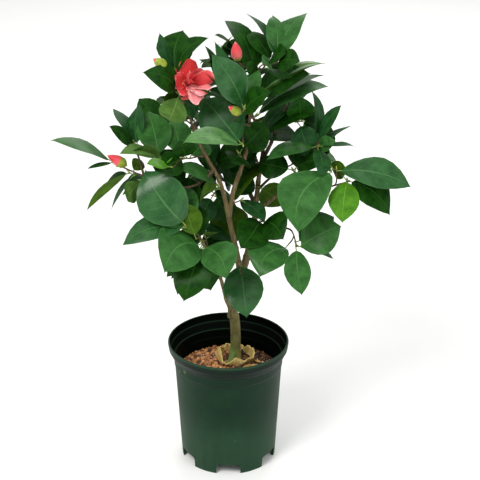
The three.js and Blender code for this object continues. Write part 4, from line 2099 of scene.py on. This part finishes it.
@dataclass(frozen=True)
class RootWrap:
    """The torn wrap of the old root ball, standing round the foot of the trunk.

    Attributes:
        centre: Its middle on the soil, in millimetres.
        foot: The radius of its foot.
        thickness: The thickness of its fibre.
        rim: Height of its rim above the soil and how far it leans out, at each bearing.
    """

    centre: Triple = (8.0, 22.0, 133.0)
    foot: float = 22.0
    thickness: float = 1.3
    rim: tuple[Triple, ...] = (
        (-180, 9, 3), (-168, 12, 5), (-158, 19, 5), (-148, 25, 3), (-141, 27, 1), (-134, 18, 3),
        (-126, 9, 6), (-112, 6, 8), (-100, 9, 6), (-90, 13, 2), (-80, 14, 0), (-70, 11, 1), (-58, 9, 5),
        (-46, 12, 7), (-32, 10, 9), (-18, 14, 8), (-6, 18, 5), (10, 14, 2), (26, 17, -2), (40, 10, -3),
        (60, 8, 3), (80, 12, 4), (100, 9, 2), (122, 14, -1), (140, 12, -3), (158, 15, -2), (170, 9, 2),
    )

    SIDES = 132
    ROWS = 9
    SEED = 3

    def rim_at(self, bearing: float) -> Pair:
        """Gives the rim's height and lean at a bearing in degrees."""
        bearings, heights, leans = zip(*self.rim, (180, *self.rim[0][1:]))
        return float(np.interp(bearing, bearings, heights)), float(np.interp(bearing, bearings, leans))

    def build(self, finishes: Finishes) -> Piece:
        """Models the wrap.

        Args:
            finishes: The plant's finishes.

        Returns:
            The piece.
        """
        clear_selection()
        bpy.ops.mesh.primitive_grid_add(x_subdivisions=self.SIDES, y_subdivisions=self.ROWS, size=2.0)
        wrap = bpy.context.object
        chance = random.Random(self.SEED)
        frays = [chance.uniform(-1.0, 1.0) for _ in range(self.SIDES + 1)]
        for vertex in wrap.data.vertices:
            across, up = (vertex.co.x + 1.0) / 2.0, (vertex.co.y + 1.0) / 2.0
            bearing = -180.0 + 360.0 * across
            turn = math.radians(bearing)
            height, lean = self.rim_at(bearing)
            height += 1.6 * frays[round(across * self.SIDES) % self.SIDES] * up**3
            waver = 1.1 * math.sin(7.0 * turn) + 0.6 * math.sin(17.0 * turn)
            radius = self.foot + waver * (0.4 + 0.6 * up) + lean * up**1.6 + 1.8 * math.sin(math.pi * up)
            place = Vector((radius * math.cos(turn), radius * math.sin(turn), height * up))
            vertex.co = MM * (Vector(self.centre) + place)
        with editing(wrap):
            bpy.ops.mesh.remove_doubles(threshold=0.05 * MM)
        apply_modifier(wrap, "SUBSURF", subdivision_type="CATMULL_CLARK", levels=1)
        apply_modifier(wrap, "SOLIDIFY", thickness=self.thickness * MM, offset=0.0)
        fibres = texture("fibres", "CLOUDS", noise_scale=2.0 * MM, noise_depth=2)
        apply_modifier(wrap, "DISPLACE", texture=fibres, strength=0.9 * MM)
        close_up(wrap, 60.0)
        wrap.name = wrap.data.name = "root_ball_wrap"
        skin = GrainSkin("wrap_fibre", paint(196, 162, 84), paint(255, 232, 156), scale=110.0,
                         stretch=(1.6, 1.6, 0.6), relief=0.0012)
        wrap.data.materials.append(skin.make(finishes.mottle))
        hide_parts("root_wrap")
        return wrap


# ---- Flower and buds ----


class Petal(NamedTuple):
    """One petal.

    Attributes:
        tip: Its tip, in millimetres.
        width: Its greatest width, in millimetres.
        facing: Bearing and rise of the side that its inner face looks to, in degrees.
        arch: How far it cups, in radians. Below zero its tip comes forwards.
        fold: How steeply its halves rise from its middle.
        roll: How far its margins roll back.
        slot: Which of the petal finishes it has.
    """

    tip: Triple
    width: float
    facing: Pair
    arch: float
    fold: float
    roll: float
    slot: int


@dataclass(frozen=True)
class PetalSkin:
    """The skin of a petal, in streaks from its claw to its end.

    Attributes:
        name: The material's name.
        cell: Its cell of the shared map.
        claw: The colour at its claw.
        end: The colour at its end.
        streak: The colour of its streaks.
        rim: The colour of its margin.
        streaks: How strongly the streaks show.
        margin: How strongly the margin shows.
    """

    name: str
    cell: int
    claw: Colour
    end: Colour
    streak: Colour
    rim: Colour
    streaks: float = 0.5
    margin: float = 0.6

    def make(self, veins: PatternGroup) -> Material:
        """Makes the material.

        Args:
            veins: The group that draws the blade's patterns.

        Returns:
            The material.
        """
        material, bench, skin = new_finish(self.name)
        place = Chart.read(bench, self.cell)
        drawn = veins.place_in(bench, {"Place": place, "Pairs": 5.0, "Sweep": 1.4})
        along, _, _ = bench.part(place)
        colour = bench.blend(bench.remap(along, 0.1, 0.8), self.claw, self.end)
        run = bench.noise(bench.stretch(place, (1.2, 16.0, 1.0)), 1.0, 3.0)
        streak = bench.times(bench.remap(run, 0.45, 0.65), self.streaks)
        colour = bench.blend(streak, colour, self.streak)
        rim = bench.reckon("MAXIMUM", drawn["Edge"], bench.remap(along, 0.9, 0.99))
        colour = bench.blend(bench.times(rim, self.margin), colour, self.rim)
        bench.wire(skin, {
            "Base Color": colour,
            "Roughness": bench.remap(drawn["Mottle"], 0.3, 0.7, 0.45, 0.62),
            "Normal": bench.bump(run, 0.5, 0.0005),
            "Sheen Weight": 0.1,
        })
        return material


PETAL_SKINS = (
    PetalSkin("petal_red", 9, paint(196, 14, 22), paint(232, 44, 48), paint(180, 8, 14),
              paint(240, 112, 104), margin=0.35),
    PetalSkin("petal_coral", 10, paint(194, 28, 36), paint(214, 60, 64), paint(196, 28, 38),
              paint(238, 156, 152)),
    PetalSkin("petal_pink", 11, paint(244, 172, 172), paint(244, 150, 154), paint(220, 64, 74),
              paint(248, 214, 210), streaks=0.8),
)


@dataclass(frozen=True)
class Flower:
    """The one open flower, half double, cupped and turned to the side.

    Attributes:
        heart: The base of the petals, in millimetres.
        stem: Where its short stem meets the wood, in millimetres.
        petals: Its petals, from the outside in.
    """

    heart: Triple = (-50.0, -34.0, 550.0)
    stem: Triple = (-66.0, -31.0, 560.0)
    petals: tuple[Petal, ...] = (
        Petal((-40, -20, 576), 26, (-60, -30), -0.5, 0.2, 0.3, 0),
        Petal((-28, -26, 565), 26, (-80, -10), -0.4, 0.2, 0.3, 1),
        Petal((-59, -24, 572), 26, (-50, -20), -0.5, 0.2, 0.3, 0),
        Petal((-63, -22, 542), 24, (-30, 10), -0.5, 0.3, 0.3, 1),
        Petal((-48, -28, 530), 26, (-60, 40), -0.5, 0.2, 0.3, 1),
        Petal((-29, -32, 534), 26, (-90, 45), -0.5, 0.2, 0.3, 2),
        Petal((-46, -34, 585), 28, (-75, -15), -0.45, 0.15, 0.35, 0),
        Petal((-64, -44, 563), 27, (-35, 5), -0.6, 0.25, 0.25, 1),
        Petal((-59, -50, 545), 20, (-60, 40), -0.5, 0.25, 0.25, 1),
        Petal((-16, -48, 567), 25, (-95, -5), -0.35, 0.1, 0.3, 1),
        Petal((-35, -52, 532), 17, (-95, 35), -0.4, 0.2, 0.4, 2),
        Petal((-21, -54, 547), 17, (-100, 50), -0.4, 0.15, 0.3, 2),
        Petal((-18, -52, 554), 15, (-90, 75), -0.4, 0.1, 0.3, 2),
        Petal((-45, -56, 575), 16, (0, 10), -0.5, 0.45, 0.1, 1),
        Petal((-42, -56, 549), 13, (-20, 60), -0.6, 0.3, 0.2, 2),
        Petal((-52, -50, 556), 14, (-50, 30), -0.5, 0.2, 0.1, 0),
        Petal((-43, -52, 562), 14, (-80, 0), -0.5, 0.2, 0.1, 0),
    )
    sepals: int = 6

    SEPAL_CELL = 12
    SEPAL_WIDTH = 7.5 * MM
    STEM_RADIUS = 1.6 * MM
    STEM_SIDES = 8

    def build(self, finishes: Finishes) -> Piece:
        """Models the flower.

        Args:
            finishes: The plant's finishes.

        Returns:
            The piece.
        """
        batch = Batch()
        heart = MM * Vector(self.heart)
        for rank, petal in enumerate(self.petals):
            tip = MM * Vector(petal.tip)
            way = (tip - heart).normalized()
            normal = heading(*petal.facing)
            bends = Bends(arch=petal.arch, fold=petal.fold, recurve=petal.roll, wave=0.1, phase=1.7 * rank)
            points = PETAL_BLADE.pose(heart - 0.5 * MM * way, tip, normal, petal.width * MM, bends)
            cell = PETAL_SKINS[petal.slot].cell
            faces, corners = PETAL_BLADE.faces(cell, cell)
            batch.add(points, faces, petal.slot, corners)
        away = (heart - MM * Vector(self.stem)).normalized()
        side = away.orthogonal().normalized()
        green = len(PETAL_SKINS)
        bends = Bends(arch=-0.9, fold=0.5, recurve=0.0)
        for step in range(self.sepals):
            out = spiral(away, side, step)
            base = heart - 7.0 * MM * away
            tip = heart + MM * (5.0 * out - 5.0 * away)
            points = LEAF_BLADE.pose(base, tip, -out + 0.4 * away, self.SEPAL_WIDTH, bends)
            faces, corners = LEAF_BLADE.faces(self.SEPAL_CELL, self.SEPAL_CELL)
            batch.add(points, faces, green, corners)
        end = heart - 6.0 * MM * away
        route = bend(MM * Vector(self.stem), away, end, away, 5)
        batch.add_tube(route, [self.STEM_RADIUS] * len(route), self.STEM_SIDES, green, self.SEPAL_CELL)
        skins = [skin.make(finishes.veins) for skin in PETAL_SKINS]
        sepal = BladeSkin("sepal", self.SEPAL_CELL, paint(120, 140, 70), paint(170, 180, 110),
                          paint(190, 150, 100), coat=0.0, roughness=0.55, relief=-0.0002)
        return batch.build("flower", [*skins, sepal.make(finishes.veins)], 60.0)


class Bud(NamedTuple):
    """A bud: overlapping scales round a pointed core.

    Attributes:
        base: Its base, in millimetres.
        tip: Its tip, in millimetres.
        radius: Its greatest radius, in millimetres.
        pink: How much of its length from the tip shows petals, from 0 to 1.
    """

    base: Triple
    tip: Triple
    radius: float
    pink: float


@dataclass
class Buds:
    """The flower buds, and a small leaf bud at the end of most twigs.

    Attributes:
        foliage: The foliage whose twigs end in leaf buds.
        finishes: The plant's finishes.
        seed: The seed of the leaf buds' sizes.
    """

    foliage: Foliage
    finishes: Finishes
    seed: int = 31

    FLOWER_BUDS = (
        Bud((-74, -46, 577), (-90, -50, 589), 7.8, 0.12),
        Bud((17, -53, 519), (2, -57, 530), 6.6, 0.24),
        Bud((13, -8, 573), (10, -12, 599), 8.0, 0.86),
        Bud((-127, -42, 446), (-151, -47, 462), 8.0, 0.6),
        Bud((-63, -42, 559), (-64, -43, 566), 1.6, 0.9),
    )
    CELLS = (13, 14, 15)
    BARE = 0.25
    BULB_STEPS = 9
    SCALES = 6

    def bulb(self, batch: Batch, bud: Bud) -> None:
        """Adds a flower bud: a pink core in green scales."""
        base, tip = MM * Vector(bud.base), MM * Vector(bud.tip)
        way, length = (tip - base).normalized(), (tip - base).length
        shares = [step / self.BULB_STEPS for step in range(self.BULB_STEPS + 1)]
        swell = [max(0.08, math.sin(math.pi * min(1.0, share**0.75)) ** 0.8) for share in shares]
        route = [base + way * (length * share) for share in shares]
        points, faces, corners = sweep(route, [0.9 * bud.radius * MM * size for size in swell], 12)
        slots: list[int] = []
        places: list[Pair] = []
        for face in faces:
            spots = corners[len(places):len(places) + len(face)]
            slots.append(0 if min(along for along, _ in spots) > 0.98 - bud.pink else 1)
            places += [Chart.place(self.CELLS[slots[-1]], *spot) for spot in spots]
        batch.add(points, faces, slots, places)
        side = way.orthogonal().normalized()
        for step in range(self.SCALES + 3 * (bud.pink > 0.5)):
            out = spiral(way, side, step)
            is_petal = step >= self.SCALES
            slot, gap, arch = (0, 0.9, 0.7) if is_petal else (1, 1.0, 0.9)
            foot, head = (0.25, 0.97) if is_petal else (0.02, (1.0 - bud.pink) * (0.72 + 0.07 * step))
            low, high = np.interp((foot, head), shares, swell) * gap * bud.radius * MM
            start = base + foot * length * way + 0.5 * float(low) * out
            end = base + head * length * way + float(high) * out
            bends = Bends(arch=arch, fold=-0.45, recurve=0.6)
            points = LEAF_BLADE.pose(start, end, out, 1.6 * bud.radius * MM, bends)
            faces, corners = LEAF_BLADE.faces(self.CELLS[slot], self.CELLS[slot])
            batch.add(points, faces, slot, corners)

    def build(self) -> Piece:
        """Models the buds.

        Returns:
            The piece.
        """
        chance, batch = random.Random(self.seed), Batch()
        for bud in self.FLOWER_BUDS:
            self.foliage.wood.arrive(MM * Vector(bud.base))
            self.bulb(batch, bud)
        for place, out in self.foliage.ends:
            if chance.random() < self.BARE:
                continue
            length, radius = chance.uniform(5.0, 8.5), chance.uniform(0.9, 1.4)
            way = (out + 0.25 * UP).normalized()
            route = [place + way * (length * MM * share) for share in (0.0, 0.25, 0.55, 0.8, 1.0)]
            sizes = [radius * MM * size for size in (0.7, 1.0, 0.8, 0.4, 0.06)]
            batch.add_tube(route, sizes, 6, 2, self.CELLS[2])
        skins = (
            PetalSkin("bud_pink", self.CELLS[0], paint(222, 120, 112), paint(220, 56, 68),
                      paint(194, 34, 48), paint(238, 160, 156)),
            BladeSkin("bud_green", self.CELLS[1], paint(116, 136, 34), paint(156, 168, 58),
                      paint(206, 160, 96), midrib=0.3, edge=0.6, roughness=0.5, coat=0.1, relief=-0.0002),
            BladeSkin("leaf_bud", self.CELLS[2], paint(128, 150, 66), paint(168, 180, 88),
                      paint(120, 90, 50), midrib=0.3, veins=0.2, roughness=0.5, coat=0.1, relief=-0.0002),
        )
        return batch.build("buds", [skin.make(self.finishes.veins) for skin in skins], 50.0)


# ---- Studio ----


@dataclass(frozen=True)
class Studio:
    """The pale floor, the soft lights and the camera.

    Attributes:
        eye: Where the camera is.
        pitch: How far it looks down, in degrees.
        lens: Its focal length, in millimetres.
    """

    eye: Triple = (0.016, -1.7895, 1.1274)
    pitch: float = 24.18
    lens: float = 110.93

    FLOOR_SIZE = 14.0
    AIM = Vector((0.0, 0.02, 0.35))
    LAMPS = (
        ("key", (-1.2, -1.6, 2.4), 1.3, 54.0, (1.0, 0.985, 0.96)),
        ("fill", (1.9, -1.3, 1.4), 1.8, 14.0, (0.95, 0.98, 1.0)),
        ("back", (0.3, 1.9, 1.9), 1.6, 20.0, (1.0, 1.0, 1.0)),
    )

    def floor(self) -> Piece:
        """Models the floor."""
        clear_selection()
        bpy.ops.mesh.primitive_plane_add(size=self.FLOOR_SIZE)
        floor = bpy.context.object
        floor.name = floor.data.name = "studio_floor"
        material, bench, skin = new_finish("studio_floor")
        cloudy = bench.noise(bench.object_place(), 0.8, 2.0)
        colour = bench.blend(cloudy, paint(250, 250, 249), paint(252, 252, 252))
        bench.wire(skin, {"Base Color": colour, "Roughness": 0.85})
        floor.data.materials.append(material)
        return floor

    def build(self) -> Piece:
        """Sets the studio up.

        Returns:
            The floor.
        """
        floor = self.floor()
        for name, place, size, power, colour in self.LAMPS:
            clear_selection()
            bpy.ops.object.light_add(type="AREA", location=place)
            lamp = bpy.context.object
            lamp.name = name + "_light"
            lamp.data.shape = "DISK"
            lamp.data.size = size
            lamp.data.energy = power
            lamp.data.color = colour
            lamp.rotation_euler = (self.AIM - Vector(place)).to_track_quat("-Z", "Y").to_euler()
        world = bpy.data.worlds.new("studio_world")
        world.use_nodes = True
        backdrop = world.node_tree.nodes["Background"]
        backdrop.inputs["Color"].default_value = (1.0, 1.0, 0.98, 1.0)
        backdrop.inputs["Strength"].default_value = 0.68
        scene = bpy.context.scene
        scene.world = world
        scene.view_settings.view_transform = "Standard"
        clear_selection()
        bpy.ops.object.camera_add(location=self.eye, rotation=(math.radians(90.0 - self.pitch), 0.0, 0.0))
        camera = bpy.context.object
        camera.name = "studio_camera"
        camera.data.lens = self.lens
        camera.data.sensor_width = 36.0
        camera.data.clip_end = 60.0
        scene.camera = camera
        return floor


# ---- The plant ----


def report(piece: Piece) -> None:
    """Logs a piece's name, size and number of triangles."""
    triangles = sum(len(face.vertices) - 2 for face in piece.data.polygons)
    size = " x ".join(f"{side / MM:.0f}" for side in piece.dimensions)
    LOG.info("%s: %s mm, %d triangles", piece.name, size, triangles)


def main() -> None:
    """Builds the plant round its frame, and the studio that it stands in."""
    logging.basicConfig(level=logging.INFO, format="%(message)s")
    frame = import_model()
    finishes = Finishes()
    wood = Wood(frame["nodes"], finishes)
    foliage = Foliage(wood, finishes)
    leaves = foliage.build()
    slots = {
        "foliage": [*leaves, Flower().build(finishes), Buds(foliage, finishes).build()],
        "bark": wood.build(),
        "pot": [Pot().build(finishes)],
        "soil": Soil().build(finishes),
        "root_wrap": [RootWrap().build(finishes)],
    }
    for slot, pieces in slots.items():
        for piece in pieces:
            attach(piece, "root")
            report(piece)
    Studio().build()


if __name__ == "__main__":
    main()
